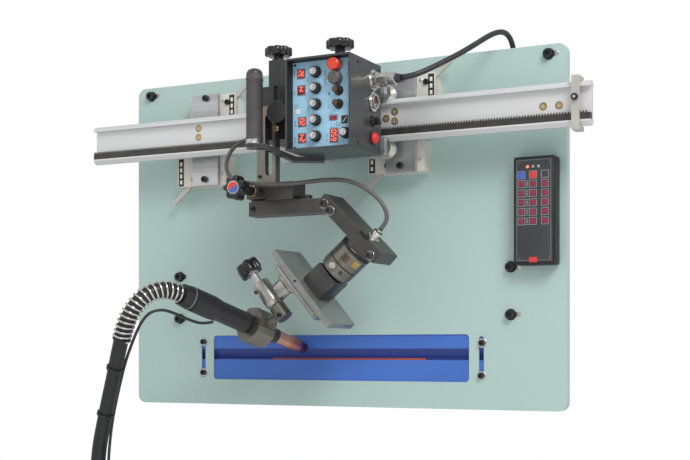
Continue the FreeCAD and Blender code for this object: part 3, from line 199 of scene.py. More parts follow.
TORCH_TIP = at(-0.058, 0.008, -0.0955)
TORCH_DIR = Vector((-0.370, -0.870, 0.327)).normalized()
TINTED_LENGTH = 0.066
TEMPER = ((0.16, (0.07, 0.035, 0.06, 1)), (0.34, (0.20, 0.08, 0.17, 1)), (0.5, (0.30, 0.14, 0.22, 1)),
          (0.66, (0.50, 0.17, 0.09, 1)), (0.84, (0.58, 0.31, 0.26, 1)), (1.0, (0.56, 0.30, 0.24, 1)))


def heat_tinted_copper():
    """Copper nozzle with temper colours that run back from its tip."""
    material = finish("heat_tinted_copper", (0.62, 0.36, 0.26), 0.32, metallic=0.9, mottle=0.12, scale=60.0)
    tree = material.node_tree
    shader = tree.nodes["Principled BSDF"]
    place = next(n for n in tree.nodes if n.bl_idname == "ShaderNodeTexCoord")
    along = add_node(tree, "ShaderNodeVectorMath", operation="DOT_PRODUCT")
    along.inputs[1].default_value = TORCH_DIR
    start = TORCH_TIP.dot(TORCH_DIR)
    span = add_node(tree, "ShaderNodeMapRange", {"From Min": start, "From Max": start + TINTED_LENGTH})
    noise = add_node(tree, "ShaderNodeTexNoise", {"Scale": 45.0})
    shift = add_node(tree, "ShaderNodeMath", {1: 0.35}, operation="MULTIPLY_ADD")
    tempered = add_node(tree, "ShaderNodeValToRGB")
    ramp = tempered.color_ramp.elements
    for element, (position, color) in zip(ramp, (TEMPER[0], TEMPER[-1])):
        element.position = position
        element.color = color
    for position, color in TEMPER[1:-1]:
        ramp.new(position).color = color
    wire(tree, (place, "Object", along, 0), (along, "Value", span, "Value"), (place, "Object", noise, "Vector"),
         (noise, "Fac", shift, 0), (span, "Result", shift, 2), (shift, "Value", tempered, "Fac"),
         (tempered, "Color", shader, "Base Color"))
    return material


# ---- finishes ----
panel_paint = finish("pale_green_paint", (0.46, 0.62, 0.59), 0.42, mottle=0.022, scale=5.0, grain=700.0,
                     depth=0.00002, worn=(0.60, 0.70, 0.66), coat=0.15)
blue_paint = finish("blue_plate_paint", (0.060, 0.175, 0.60), 0.42, mottle=0.10, scale=9.0, stretch=(0.4, 1, 1.6),
                    worn=(0.10, 0.20, 0.66), wear_radius=0.0016)
# Darker copy of the blue plate paint: painted shade, used on the plates' downward bevel and in the seam gap.
blue_shadow = finish("blue_painted_shade", (0.028, 0.055, 0.26), 0.45, mottle=0.12, scale=9.0, stretch=(0.4, 1, 1.6))
seam_orange = finish("seam_backing", (0.62, 0.10, 0.03), 0.5, mottle=0.25, scale=30.0)
zinc = finish("zinc_plate", (0.62, 0.62, 0.60), 0.30, metallic=0.9, mottle=0.14, scale=90.0, worn=(0.8, 0.8, 0.8))
black_oxide = finish("black_oxide", (0.030, 0.030, 0.032), 0.38, metallic=0.5, mottle=0.3, scale=120.0,
                     worn=(0.16, 0.16, 0.16), wear_radius=0.0008)
brass = finish("yellow_zinc", (0.46, 0.33, 0.15), 0.34, metallic=0.85, mottle=0.22, scale=160.0,
               worn=(0.80, 0.66, 0.40), wear_radius=0.0006)
bright_aluminium = finish("milled_aluminium", (0.50, 0.505, 0.51), 0.30, metallic=0.80, mottle=0.42, scale=16.0,
                          stretch=(0.12, 1, 1.8), grain=240.0, depth=0.00006, worn=(0.86, 0.87, 0.88))
rail_aluminium = finish("rail_aluminium", (0.75, 0.755, 0.76), 0.38, metallic=0.30, mottle=0.035, scale=9.0,
                        stretch=(0.1, 1, 3), grain=500.0, depth=0.00002, worn=(0.94, 0.95, 0.96), wear_radius=0.0007)
rack_steel = finish("rack_steel", (0.075, 0.072, 0.07), 0.40, metallic=0.6, mottle=0.25, scale=60.0,
                    worn=(0.22, 0.22, 0.22), wear_radius=0.0006)
label_cream = finish("label_cream", (0.72, 0.69, 0.62), 0.45, mottle=0.06, scale=50.0)
label_black = finish("label_black", (0.02, 0.02, 0.022), 0.4, mottle=0.2, scale=80.0)
label_print = finish("label_print", (0.88, 0.88, 0.86), 0.5, mottle=0.05, scale=80.0)
lever_paint = finish("lever_beige", (0.56, 0.54, 0.48), 0.42, metallic=0.3, mottle=0.08, scale=40.0,
                     worn=(0.75, 0.74, 0.70))
case_black = finish("case_enamel", (0.038, 0.041, 0.043), 0.36, mottle=0.16, scale=18.0, grain=1500.0,
                    depth=0.00003, worn=(0.20, 0.20, 0.20), wear_radius=0.0010, coat=0.2)
# Near-black finish for painted shade, put in recesses, grooves, slots and splits.
recess_shade_black = finish("painted_recess_shade", (0.006, 0.006, 0.007), 0.55, mottle=0.2, scale=30.0, worn=(0.12, 0.12, 0.12))
face_blue = finish("face_plate_blue", (0.38, 0.66, 0.86), 0.38, mottle=0.03, scale=14.0)
dark_steel = finish("dark_phosphate_steel", (0.095, 0.090, 0.082), 0.36, metallic=0.70, mottle=0.20, scale=26.0,
                    grain=600.0, depth=0.00006, worn=(0.50, 0.48, 0.45), wear_radius=0.0013)
arm_steel = finish("arm_enamel", (0.050, 0.052, 0.052), 0.33, metallic=0.45, mottle=0.2, scale=30.0,
                   worn=(0.32, 0.31, 0.30), wear_radius=0.0012)
ground_steel = finish("ground_steel", (0.40, 0.385, 0.355), 0.27, metallic=0.85, mottle=0.16, scale=40.0,
                      stretch=(1, 1, 0.2), grain=320.0, depth=0.00006, worn=(0.72, 0.70, 0.66))
column_steel = finish("column_steel", (0.25, 0.235, 0.20), 0.30, metallic=0.85, mottle=0.16, scale=40.0,
                      stretch=(1, 1, 0.2), grain=320.0, depth=0.00006, worn=(0.60, 0.58, 0.54))
slide_grey = finish("slide_grey", (0.30, 0.31, 0.30), 0.38, metallic=0.6, mottle=0.16, scale=30.0, grain=500.0,
                    depth=0.00005, worn=(0.46, 0.45, 0.43), wear_radius=0.0010)
motor_grey = finish("motor_enamel", (0.075, 0.075, 0.074), 0.32, metallic=0.6, mottle=0.22, scale=28.0,
                    worn=(0.26, 0.27, 0.29))
barrel_steel = finish("turned_steel", (0.20, 0.19, 0.165), 0.28, metallic=0.9, mottle=0.2, scale=32.0,
                      grain=420.0, depth=0.00005, worn=(0.8, 0.78, 0.74))
amber_glaze = finish("amber_window", (0.42, 0.29, 0.085), 0.2, metallic=0.5, mottle=0.25, scale=80.0, coat=0.5)
knob_black = finish("knob_phenolic", (0.008, 0.008, 0.009), 0.20, mottle=0.25, scale=60.0, coat=0.4,
                    worn=(0.10, 0.10, 0.10), wear_radius=0.0010)
knob_grey = finish("knob_grey", (0.055, 0.055, 0.058), 0.32, mottle=0.2, scale=60.0, worn=(0.25, 0.25, 0.25))
grip_rubber = finish("grip_rubber", (0.085, 0.080, 0.080), 0.55, mottle=0.16, scale=60.0, grain=1400.0, depth=0.00008)
red_plastic = finish("red_plastic", (0.72, 0.055, 0.025), 0.35, mottle=0.06, scale=60.0, coat=0.2)
grey_plastic = finish("grey_plastic", (0.105, 0.10, 0.098), 0.4, mottle=0.10, scale=60.0)
toggle_nut = finish("toggle_nut", (0.055, 0.045, 0.038), 0.34, metallic=0.6, mottle=0.3, scale=160.0)
cast_silver = finish("cast_silver", (0.46, 0.44, 0.41), 0.26, metallic=0.85, mottle=0.16, scale=60.0, grain=400.0,
                     depth=0.00005, worn=(0.80, 0.78, 0.75))
clamp_steel = finish("clamp_steel", (0.21, 0.195, 0.168), 0.32, metallic=0.75, mottle=0.18, scale=40.0, grain=500.0,
                     depth=0.00006, worn=(0.55, 0.52, 0.48), wear_radius=0.0014)
toggle_metal = finish("toggle_metal", (0.14, 0.095, 0.07), 0.26, metallic=0.7, mottle=0.2, scale=160.0)
silver_cap = finish("silver_cap", (0.66, 0.66, 0.66), 0.22, metallic=0.9, mottle=0.12, scale=160.0)
chrome = finish("nickel_plate", (0.70, 0.68, 0.64), 0.16, metallic=1.0, mottle=0.10, scale=70.0)
display_red = finish("display_window", (0.26, 0.006, 0.010), 0.22, mottle=0.10, scale=90.0, coat=0.5)
digit_glow = glow("digit_glow", (1.0, 0.16, 0.10), 1.6)
lamp_red = glow("lamp_red", (0.62, 0.02, 0.02), 0.25)
hose_rubber = finish("hose_rubber", (0.016, 0.017, 0.018), 0.42, mottle=0.25, scale=30.0, grain=1200.0, depth=0.00006)
handle_rubber = finish("handle_rubber", (0.020, 0.021, 0.023), 0.38, mottle=0.2, scale=30.0, grain=1100.0,
                       depth=0.00008, worn=(0.12, 0.12, 0.12))
lead_grey = finish("lead_jacket", (0.115, 0.11, 0.10), 0.38, mottle=0.15, scale=50.0)
cable_black = finish("cable_jacket", (0.030, 0.031, 0.033), 0.4, mottle=0.2, scale=50.0)
insulator_black = finish("insulator", (0.014, 0.014, 0.016), 0.3, mottle=0.2, scale=80.0, coat=0.2)
copper = heat_tinted_copper()
pendant_black = finish("pendant_case", (0.008, 0.008, 0.009), 0.46, mottle=0.15, scale=40.0, grain=1200.0,
                       depth=0.00005, worn=(0.12, 0.12, 0.12))
pendant_face = finish("pendant_overlay", (0.042, 0.048, 0.054), 0.36, mottle=0.08, scale=60.0)
key_red = finish("key_red", (0.30, 0.022, 0.065), 0.45, mottle=0.12, scale=160.0)
key_bright = finish("key_bright_red", (0.70, 0.05, 0.05), 0.45, mottle=0.08, scale=160.0)
key_blue = finish("key_blue", (0.06, 0.14, 0.50), 0.45, mottle=0.08, scale=160.0)
key_frame = finish("key_frame", (0.42, 0.42, 0.43), 0.5, mottle=0.06, scale=160.0)
tie_black = finish("tie_nylon", (0.020, 0.020, 0.021), 0.45, mottle=0.2, scale=120.0)


# ---- mesh helpers ----
def keep(name, mesh, material, body, smooth=35.0):
    """A finished mesh becomes a piece that rides on a body."""
    mesh.name = name
    if material is not None:
        mesh.materials.clear()
        mesh.materials.append(material)
    mesh.shade_smooth()
    mesh.set_sharp_from_angle(angle=math.radians(smooth))
    piece = bpy.data.objects.new(name, mesh)
    bpy.context.scene.collection.objects.link(piece)
    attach(piece, body)
    return piece


def to_mesh(bm):
    """Mesh from a bmesh, with its faces pointing outwards."""
    bmesh.ops.recalc_face_normals(bm, faces=bm.faces)
    mesh = bpy.data.meshes.new("part")
    bm.to_mesh(mesh)
    bm.free()
    return mesh


def skin(bm, rows):
    """Quads between closed rings of the same number of points."""
    for low, high in zip(rows, rows[1:]):
        for k in range(len(low)):
            n = (k + 1) % len(low)
            bm.faces.new((low[k], low[n], high[n], high[k]))


def frame_along(axis):
    """Matrix whose Z column is the axis."""
    return axis.normalized().to_track_quat("Z", "Y").to_matrix().to_4x4()


def add_turned(bm, profile, origin, axis, segments=40):
    """Closed surface of revolution from (radius, distance) points."""
    turn = Matrix.Translation(origin) @ frame_along(axis)
    rows = []
    for radius, distance in profile:
        if radius < 1e-6:
            rows.append([bm.verts.new(turn @ Vector((0, 0, distance)))])
            continue
        rows.append([bm.verts.new(turn @ Vector((radius * math.cos(a), radius * math.sin(a), distance)))
                     for a in (2 * math.pi * k / segments for k in range(segments))])
    for low, high in zip(rows, rows[1:]):
        for k in range(segments):
            n = (k + 1) % segments
            corners = [low[k % len(low)], low[n % len(low)], high[n % len(high)], high[k % len(high)]]
            corners = list(dict.fromkeys(corners))
            if len(corners) > 2:
                bm.faces.new(corners)


def turned(name, profile, origin, axis, material, body, segments=40):
    """A surface of revolution as a piece of its own."""
    bm = bmesh.new()
    add_turned(bm, profile, origin, axis, segments)
    return keep(name, to_mesh(bm), material, body)


def add_block(bm, size, place, bevel=0.0):
    """Block with rounded edges, centred on the place matrix."""
    made = bmesh.ops.create_cube(bm, size=1.0)
    verts = made["verts"]
    bmesh.ops.scale(bm, vec=size, verts=verts)
    if bevel:
        edges = {e for v in verts for e in v.link_edges}
        done = bmesh.ops.bevel(bm, geom=list(edges), offset=bevel, segments=2, affect="EDGES", profile=0.5)
        verts = list({v for f in done["faces"] for v in f.verts} | {v for v in verts if v.is_valid})
    bmesh.ops.transform(bm, matrix=place, verts=verts)


def add_plate(bm, x0, x1, z0, z1, out, thick, bevel=0.0):
    """Thin upright plate on a face at a distance out from the panel."""
    centre = at((x0 + x1) / 2, out + thick / 2, (z0 + z1) / 2)
    add_block(bm, Vector((x1 - x0, thick, z1 - z0)), Matrix.Translation(centre), bevel)


def plates(name, rows, out, thick, material, body, bevel=0.0):
    """Plates of one thickness, from their left, right, lower and upper edges, as one piece."""
    bm = bmesh.new()
    for x0, x1, z0, z1 in rows:
        add_plate(bm, x0, x1, z0, z1, out, thick, bevel)
    return keep(name, to_mesh(bm), material, body)


# ---- repeated fasteners and small parts, set out by Geometry Nodes ----
HEAD_POINTS = 24


def head_ring(bm, radii, z):
    """Ring of a screw head; radii and z are worked out from each point's number."""
    return [bm.verts.new((radii(k) * math.cos(2 * math.pi * k / HEAD_POINTS),
                          radii(k) * math.sin(2 * math.pi * k / HEAD_POINTS), z(k))) for k in range(HEAD_POINTS)]


def cap_screw_head():
    """Knurled socket head of unit radius, sitting on Z = 0."""
    bm = bmesh.new()
    rows = [head_ring(bm, lambda k: radius - wave * (k % 2), lambda k: z)
            for radius, z, wave in ((1.0, 0.0, 0.03), (1.0, 0.85, 0.03), (0.86, 1.0, 0.0))]
    rows += [head_ring(bm, lambda k: radius * (0.90 + 0.05 * abs((k % 4) - 2)), lambda k: z)
             for radius, z in ((0.52, 1.0), (0.50, 0.45))]
    skin(bm, rows)
    bm.faces.new(rows[-1])
    bm.faces.new(rows[0])
    return to_mesh(bm)


def cross_screw_head():
    """Domed head of unit radius with a cross recess."""
    bm = bmesh.new()
    centre = bm.verts.new((0, 0, 0.12))
    rows = [head_ring(bm, lambda k: radius, lambda k: z - (0.36 if k % 6 == 0 and radius < 0.7 else 0.0))
            for radius, z in ((0.16, 0.52), (0.62, 0.46), (0.72, 0.44), (0.94, 0.26), (1.0, 0.0))]
    for k in range(HEAD_POINTS):
        bm.faces.new((centre, rows[0][k], rows[0][(k + 1) % HEAD_POINTS]))
    skin(bm, rows)
    bm.faces.new(list(reversed(rows[-1])))
    return to_mesh(bm)


def flat_washer():
    """Washer of unit radius with a chamfered rim."""
    bm = bmesh.new()
    add_turned(bm, [(0.5, 0), (1.0, 0), (1.0, 0.12), (0.95, 0.16), (0.5, 0.16), (0.5, 0)], Vector(), UP, 28)
    bmesh.ops.remove_doubles(bm, verts=bm.verts, dist=1e-5)
    return to_mesh(bm)


def setting_tree():
    """Sets a pattern on each point, along its own direction and at its own size."""
    tree = bpy.data.node_groups.new("SetOut", "GeometryNodeTree")
    tree.is_modifier = True
    for name, kind in (("Geometry", "Geometry"), ("Pattern", "Object"), ("Size", "Float"), ("Finish", "Material")):
        socket = tree.interface.new_socket(name=name, in_out="INPUT", socket_type="NodeSocket" + kind)
        if kind == "Float":
            socket.default_value = 1.0
    tree.interface.new_socket(name="Geometry", in_out="OUTPUT", socket_type="NodeSocketGeometry")
    source = add_node(tree, "NodeGroupInput")
    sink = add_node(tree, "NodeGroupOutput")
    shape = add_node(tree, "GeometryNodeObjectInfo")
    place = add_node(tree, "GeometryNodeInstanceOnPoints")
    facing = add_node(tree, "GeometryNodeInputNamedAttribute", {"Name": "facing"}, data_type="FLOAT_VECTOR")
    radius = add_node(tree, "GeometryNodeInputNamedAttribute", {"Name": "radius"}, data_type="FLOAT")
    aim = add_node(tree, "FunctionNodeAlignRotationToVector", axis="Z")
    grow = add_node(tree, "ShaderNodeMath", operation="MULTIPLY")
    real = add_node(tree, "GeometryNodeRealizeInstances")
    paint = add_node(tree, "GeometryNodeSetMaterial")
    wire(tree, (source, "Geometry", place, "Points"), (source, "Pattern", shape, "Object"),
         (shape, "Geometry", place, "Instance"), (facing, "Attribute", aim, "Vector"),
         (aim, "Rotation", place, "Rotation"), (radius, "Attribute", grow, 0), (source, "Size", grow, 1),
         (grow, "Value", place, "Scale"), (place, "Instances", real, "Geometry"),
         (real, "Geometry", paint, "Geometry"), (source, "Finish", paint, "Material"),
         (paint, "Geometry", sink, "Geometry"))
    return tree


SET_OUT = setting_tree()
PATTERNS = {}


def pattern(kind, maker):
    """The object that is repeated, made once for each kind."""
    if kind not in PATTERNS:
        PATTERNS[kind] = bpy.data.objects.new("pattern_" + kind, maker())
    return PATTERNS[kind]


def set_out(name, kind, maker, spots, material, body, size=1.0):
    """spots are (place, direction, radius)."""
    mesh = bpy.data.meshes.new(name)
    mesh.from_pydata([tuple(spot[0]) for spot in spots], [], [])
    mesh.attributes.new("facing", "FLOAT_VECTOR", "POINT")
    mesh.attributes.new("radius", "FLOAT", "POINT")
    for k, (_, direction, r) in enumerate(spots):
        mesh.attributes["facing"].data[k].vector = direction
        mesh.attributes["radius"].data[k].value = r
    carrier = bpy.data.objects.new("carrier", mesh)
    bpy.context.scene.collection.objects.link(carrier)
    modifier = carrier.modifiers.new("set_out", "NODES")
    modifier.node_group = SET_OUT
    sockets = {item.name: item.identifier for item in SET_OUT.interface.items_tree if item.in_out == "INPUT"}
    modifier[sockets["Pattern"]] = pattern(kind, maker)
    modifier[sockets["Size"]] = size
    modifier[sockets["Finish"]] = material
    return keep(name, evaluated_mesh(carrier), material, body)


def cap_screws(name, spots, material, body):
    return set_out(name, "cap_screw", cap_screw_head, spots, material, body)


def cross_screws(name, spots, material, body):
    return set_out(name, "cross_screw", cross_screw_head, spots, material, body)


def washers(name, spots, material, body):
    return set_out(name, "washer", flat_washer, spots, material, body)


# ---- cords ----
def smooth_line(name, points, resolution):
    """Curve with one open NURBS spline that has the points as its control points."""
    curve = bpy.data.curves.new(name, "CURVE")
    curve.dimensions = "3D"
    curve.resolution_u = resolution
    spline = curve.splines.new("NURBS")
    spline.points.add(len(points) - 1)
    for point, place in zip(spline.points, points):
        point.co = (*place, 1.0)
    spline.order_u = 3
    spline.use_endpoint_u = True
    carrier = bpy.data.objects.new(name, curve)
    bpy.context.scene.collection.objects.link(carrier)
    return carrier


def evaluated_mesh(carrier):
    """The object's final mesh; the object itself is removed."""
    graph = bpy.context.evaluated_depsgraph_get()
    mesh = bpy.data.meshes.new_from_object(carrier.evaluated_get(graph))
    bpy.data.objects.remove(carrier)
    return mesh


def nurbs(name, points, radius, material, body):
    """Round cord along a smooth line."""
    piece = smooth_line(name, points, 6)
    piece.data.bevel_depth = radius
    piece.data.bevel_resolution = 5
    piece.data.use_fill_caps = True
    piece.data.materials.append(material)
    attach(piece, body)
    return piece


def blended_tube(name, points, radius, material, bodies):
    """The same cord as a mesh, fixed in place; it rides on neither body."""
    bm = bmesh.new()
    bm.from_mesh(evaluated_mesh(nurbs(name + "_line", points, radius, material, bodies[0])))
    bmesh.ops.remove_doubles(bm, verts=bm.verts, dist=1e-6)
    mesh = to_mesh(bm)
    mesh.name = name
    mesh.materials.append(material)
    mesh.shade_smooth()
    piece = bpy.data.objects.new(name, mesh)
    bpy.context.scene.collection.objects.link(piece)
    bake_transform(piece)
    return piece


def centreline(points):
    """Points along the smooth line of a route, as the curve itself gives them."""
    return [v.co.copy() for v in evaluated_mesh(smooth_line("line", points, 12)).vertices]


def point_along(line, distance):
    """Place and heading at a distance along a line."""
    for a, b in zip(line, line[1:]):
        run = (b - a).length
        if distance <= run:
            return a.lerp(b, distance / run), (b - a).normalized()
        distance -= run
    return line[-1], (line[-1] - line[-2]).normalized()


def coil_points(centre, start, turns, sense, radius, lay):
    """Control points of a coil round the Y axis; lay(turn) gives radial and outward offsets."""
    steps = 16
    swell = 1 / math.cos(math.pi / steps)
    points = []
    for k in range(int(turns * steps) + 1):
        turn = k / steps
        radial, outward = lay(turn)
        a = math.radians(start) + sense * 2 * math.pi * turn
        r = (radius + radial) * swell
        points.append(centre + Vector((r * math.cos(a), -outward, r * math.sin(a))))
    return points


HOSE_R = 0.0125
TORCH_LENGTH = 0.274
HOSE_ROUTE = [(-0.176, 0.278, 0.001), (-0.188, 0.292, -0.004), (-0.200, 0.303, -0.015), (-0.211, 0.309, -0.030),
              (-0.222, 0.311, -0.049), (-0.232, 0.308, -0.070), (-0.243, 0.303, -0.095), (-0.256, 0.295, -0.124),
              (-0.271, 0.286, -0.156), (-0.286, 0.278, -0.190), (-0.300, 0.271, -0.225), (-0.313, 0.265, -0.262),
              (-0.321, 0.260, -0.302), (-0.325, 0.257, -0.344)]
LEAD_R = 0.0025
LEAD_ROUTE = [(-0.150, 0.196, -0.055), (-0.162, 0.223, -0.047), (-0.172, 0.248, -0.037), (-0.182, 0.268, -0.031),
              (-0.196, 0.284, -0.036), (-0.209, 0.289, -0.052), (-0.222, 0.287, -0.072), (-0.235, 0.283, -0.093),
              (-0.250, 0.277, -0.118), (-0.264, 0.270, -0.147), (-0.277, 0.264, -0.178), (-0.289, 0.259, -0.211),
              (-0.297, 0.256, -0.246), (-0.303, 0.253, -0.283), (-0.306, 0.251, -0.320), (-0.308, 0.250, -0.357),
              (-0.308, 0.250, -0.393)]
CONTROL_R = 0.0045
CONTROL_ROUTE = [(0.226, 0.167, 0.3345), (0.245, 0.148, 0.347), (0.262, 0.125, 0.362), (0.279, 0.101, 0.378),
                 (0.295, 0.076, 0.396), (0.307, 0.051, 0.413), (0.315, 0.028, 0.424), (0.320, 0.006, 0.428),
                 (0.322, -0.016, 0.422), (0.322, -0.032, 0.406), (0.321, -0.039, 0.384), (0.320, -0.041, 0.360)]
OSC_R = 0.0035
OSC_ROUTE = [(-0.0543, 0.135, 0.262), (-0.072, 0.135, 0.262), (-0.092, 0.138, 0.262), (-0.108, 0.147, 0.256),
             (-0.117, 0.160, 0.241), (-0.118, 0.174, 0.219), (-0.108, 0.186, 0.198), (-0.088, 0.193, 0.184),
             (-0.058, 0.195, 0.178), (-0.022, 0.194, 0.174), (0.014, 0.190, 0.173), (0.044, 0.181, 0.176),
             (0.072, 0.173, 0.1785), (0.102, 0.168, 0.178), (0.130, 0.163, 0.1685), (0.1525, 0.157, 0.152),
             (0.166, 0.153, 0.136), (0.1725, 0.151, 0.120), (0.1699, 0.150, 0.1058), (0.1594, 0.150, 0.0953)]


def torch_at(distance):
    return TORCH_TIP + TORCH_DIR * distance


def make_torch_cords():
    """Hose with its coil and connector, spring guard, signal leads and ties."""
    start = torch_at(TORCH_LENGTH)
    ring = middle("hose_coil")
    ring_r = 0.150
    layer = (at(*HOSE_ROUTE[-1]).y - ring.y) * -1

    def lay(turn):
        return 0.0, layer - 0.025 * min(turn, 2.0)

    coil = coil_points(ring, 180, 2.25, 1, ring_r, lay)
    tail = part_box("hose_connector")[0].x
    foot = Vector((tail, ring.y - layer + 0.050, ring.z - ring_r))
    route = [start, torch_at(TORCH_LENGTH + 0.018)] + [at(*p) for p in HOSE_ROUTE]
    route += [at(-0.325, 0.257, -0.386), at(-0.325, 0.257, -0.426)] + coil[1:]
    route += [foot - Vector((0.05, 0, 0)), foot]
    hose = nurbs("torch_hose_run", route, HOSE_R, hose_rubber, "torch")
    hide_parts("torch_hose", "hose_coil")
    line = centreline(route)

    bm = bmesh.new()
    wind_on_line(bm, line, 0.003, 0.152, HOSE_R + 0.0019, 0.0018, 0.0086)
    spring = keep("spring_guard", to_mesh(bm), chrome, "torch", smooth=60)
    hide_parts("hose_spring")

    lead_start = torch_at(0.200) - UP * 0.0225 + TORCH_DIR * 0.006
    lead_route = [lead_start] + [at(*p) for p in LEAD_ROUTE]
    lead = nurbs("signal_lead_run", lead_route, LEAD_R, cable_black, "torch")
    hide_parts("signal_lead")
    lead_line = centreline(lead_route)

    bm = bmesh.new()
    for distance in (0.150, 0.205, 0.292):
        add_tie(bm, *point_along(line, distance), HOSE_R + 0.0012)
    low, heading = point_along(line, 0.455)
    add_turned(bm, [(HOSE_R, -0.022), (HOSE_R + 0.007, -0.018), (HOSE_R + 0.008, 0.018), (HOSE_R, 0.022)],
               low + Vector((0.004, 0.001, 0)), heading, 28)
    ties = keep("cable_ties", to_mesh(bm), tie_black, "torch")


def wind_on_line(bm, line, begin, end, radius, wire, pitch):
    """Wire wound round a line as a helix, with a closed square-round section."""
    around, section = 16, 6
    steps = int((end - begin) / pitch * around)
    side = None
    rings = []
    for k in range(steps + 1):
        place, heading = point_along(line, begin + (end - begin) * k / steps)
        if side is None:
            side = heading.orthogonal().normalized()
        side = (side - heading * side.dot(heading)).normalized()
        other = heading.cross(side)
        a = 2 * math.pi * k / around
        outward = side * math.cos(a) + other * math.sin(a)
        centre = place + outward * radius
        rings.append([bm.verts.new(centre + outward * wire * math.cos(b) + heading * wire * math.sin(b))
                      for b in (2 * math.pi * j / section for j in range(section))])
    skin(bm, rings)
    bm.faces.new(rings[0])
    bm.faces.new(rings[-1])


def add_tie(bm, place, heading, radius):
    """Nylon tie: a flat band with its square head."""
    add_turned(bm, [(radius, -0.0025), (radius + 0.0012, -0.0025), (radius + 0.0012, 0.0025), (radius, 0.0025),
                    (radius, -0.0025)], place, heading, 28)
    side = (RIGHT * 0.8 + FRONT * 0.6 - heading * heading.dot(RIGHT * 0.8 + FRONT * 0.6)).normalized()
    head = Matrix.Translation(place + side * (radius + 0.002)) @ frame_along(heading)
    add_block(bm, Vector((0.006, 0.006, 0.0055)), head, 0.0008)


def make_control_cable():
    """Cable from the box's plug, over the panel's top edge, to its coil and plug behind the panel."""
    ring = middle("control_coil")
    start = at(0.2065, 0.170, 0.3325)
    layers = [(0, 0), (0.009, 0), (0.009, 0.009), (0, 0.009), (-0.009, 0.009), (-0.009, 0), (-0.009, -0.009),
              (0, -0.009), (0, -0.009)]

    def lay(turn):
        k = min(int(turn), len(layers) - 2)
        t = min(1.0, turn - k)
        (r0, o0), (r1, o1) = layers[k], layers[k + 1]
        return r0 + (r1 - r0) * t, o0 + (o1 - o0) * t

    coil = coil_points(ring, 0, 7.25, -1, 0.050, lay)
    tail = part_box("control_plug")[1].x
    foot = Vector((tail, ring.y + 0.009, ring.z - 0.050))
    route = [start] + [at(*p) for p in CONTROL_ROUTE] + coil[1:] + [foot + Vector((0.02, -0.004, 0)), foot]
    cable = blended_tube("control_cable_run", route, CONTROL_R, cable_black, ("base", "carriage"))
    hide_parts("control_cable", "control_coil")
    line = centreline(route)


def make_oscillator_lead():
    """Lead in two lengths that meet at a point along its route."""
    route = [at(*p) for p in OSC_ROUTE]
    k = 9
    join = (route[k] + route[k + 1]) / 2
    upper, lower = route[:k + 1] + [join], [join] + route[k + 1:]
    lead = blended_tube("oscillator_lead_run", upper, OSC_R, lead_grey, ("carriage", "height_slide"))
    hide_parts("oscillator_lead")
    tail = blended_tube("oscillator_lead_tail", lower, OSC_R, lead_grey, ("height_slide", "cross_slide"))
    for piece, points in ((lead, upper), (tail, lower)):
        line = centreline(points)


# ---- knobs ----
def lobed_knob(name, origin, axis, lobes, radius, height, dip, material, body, power=1.0):
    """Moulded knob with finger dips and rounded rims."""
    bm = bmesh.new()
    count = lobes * 12
    turn = Matrix.Translation(origin) @ frame_along(axis)
    rows = []
    for spread, rise in ((0.80, 0.0), (0.95, 0.03), (1.0, 0.14), (1.0, 0.80), (0.96, 0.93), (0.86, 1.0),
                         (0.60, 0.985)):
        ring = []
        for k in range(count):
            a = 2 * math.pi * k / count
            wave = (0.5 + 0.5 * math.cos(lobes * a)) ** power
            r = (radius - dip * wave) * spread
            ring.append(bm.verts.new(turn @ Vector((r * math.cos(a), r * math.sin(a), rise * height))))
        rows.append(ring)
    skin(bm, rows)
    bm.faces.new(rows[-1])
    bm.faces.new(list(reversed(rows[0])))
    return keep(name, to_mesh(bm), material, body, smooth=50)


UPRIGHT_HEAD = 0.0150
UPRIGHT_R = 0.0230
NECK_R = 0.0085


def make_upright_knobs():
    """Fluted hand knobs on the lead screw and on the box, each on its collar."""
    for node, carrier in (("height_knob", "slide_housing"), ("clutch_knob", "control_box")):
        centre = middle(node)
        base = Vector((centre.x, centre.y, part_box(node)[1].z - 0.0030 - UPRIGHT_HEAD))
        knob = lobed_knob(node + "_head", base, UP, 8, UPRIGHT_R, UPRIGHT_HEAD, 0.0036, knob_black, node, power=1.6)
        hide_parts(node)
        stack = base.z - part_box(carrier)[1].z
        profile = [(0, -stack), (0.011, -stack), (0.011, -stack * 0.7), (NECK_R, -stack * 0.66),
                   (NECK_R, -0.001), (0, -0.001)]
        turned(node + "_collar", profile, base, UP, black_oxide, node, 32)
        turned(node + "_button", [(0, 0), (NECK_R, 0), (0.0080, 0.0010), (0, 0.0012)],
               Vector((base.x, base.y, base.z + UPRIGHT_HEAD - 0.0003)), UP, black_oxide, node, 28)


STAR_HEAD = 0.024
STAR_SET_BACK = 0.017


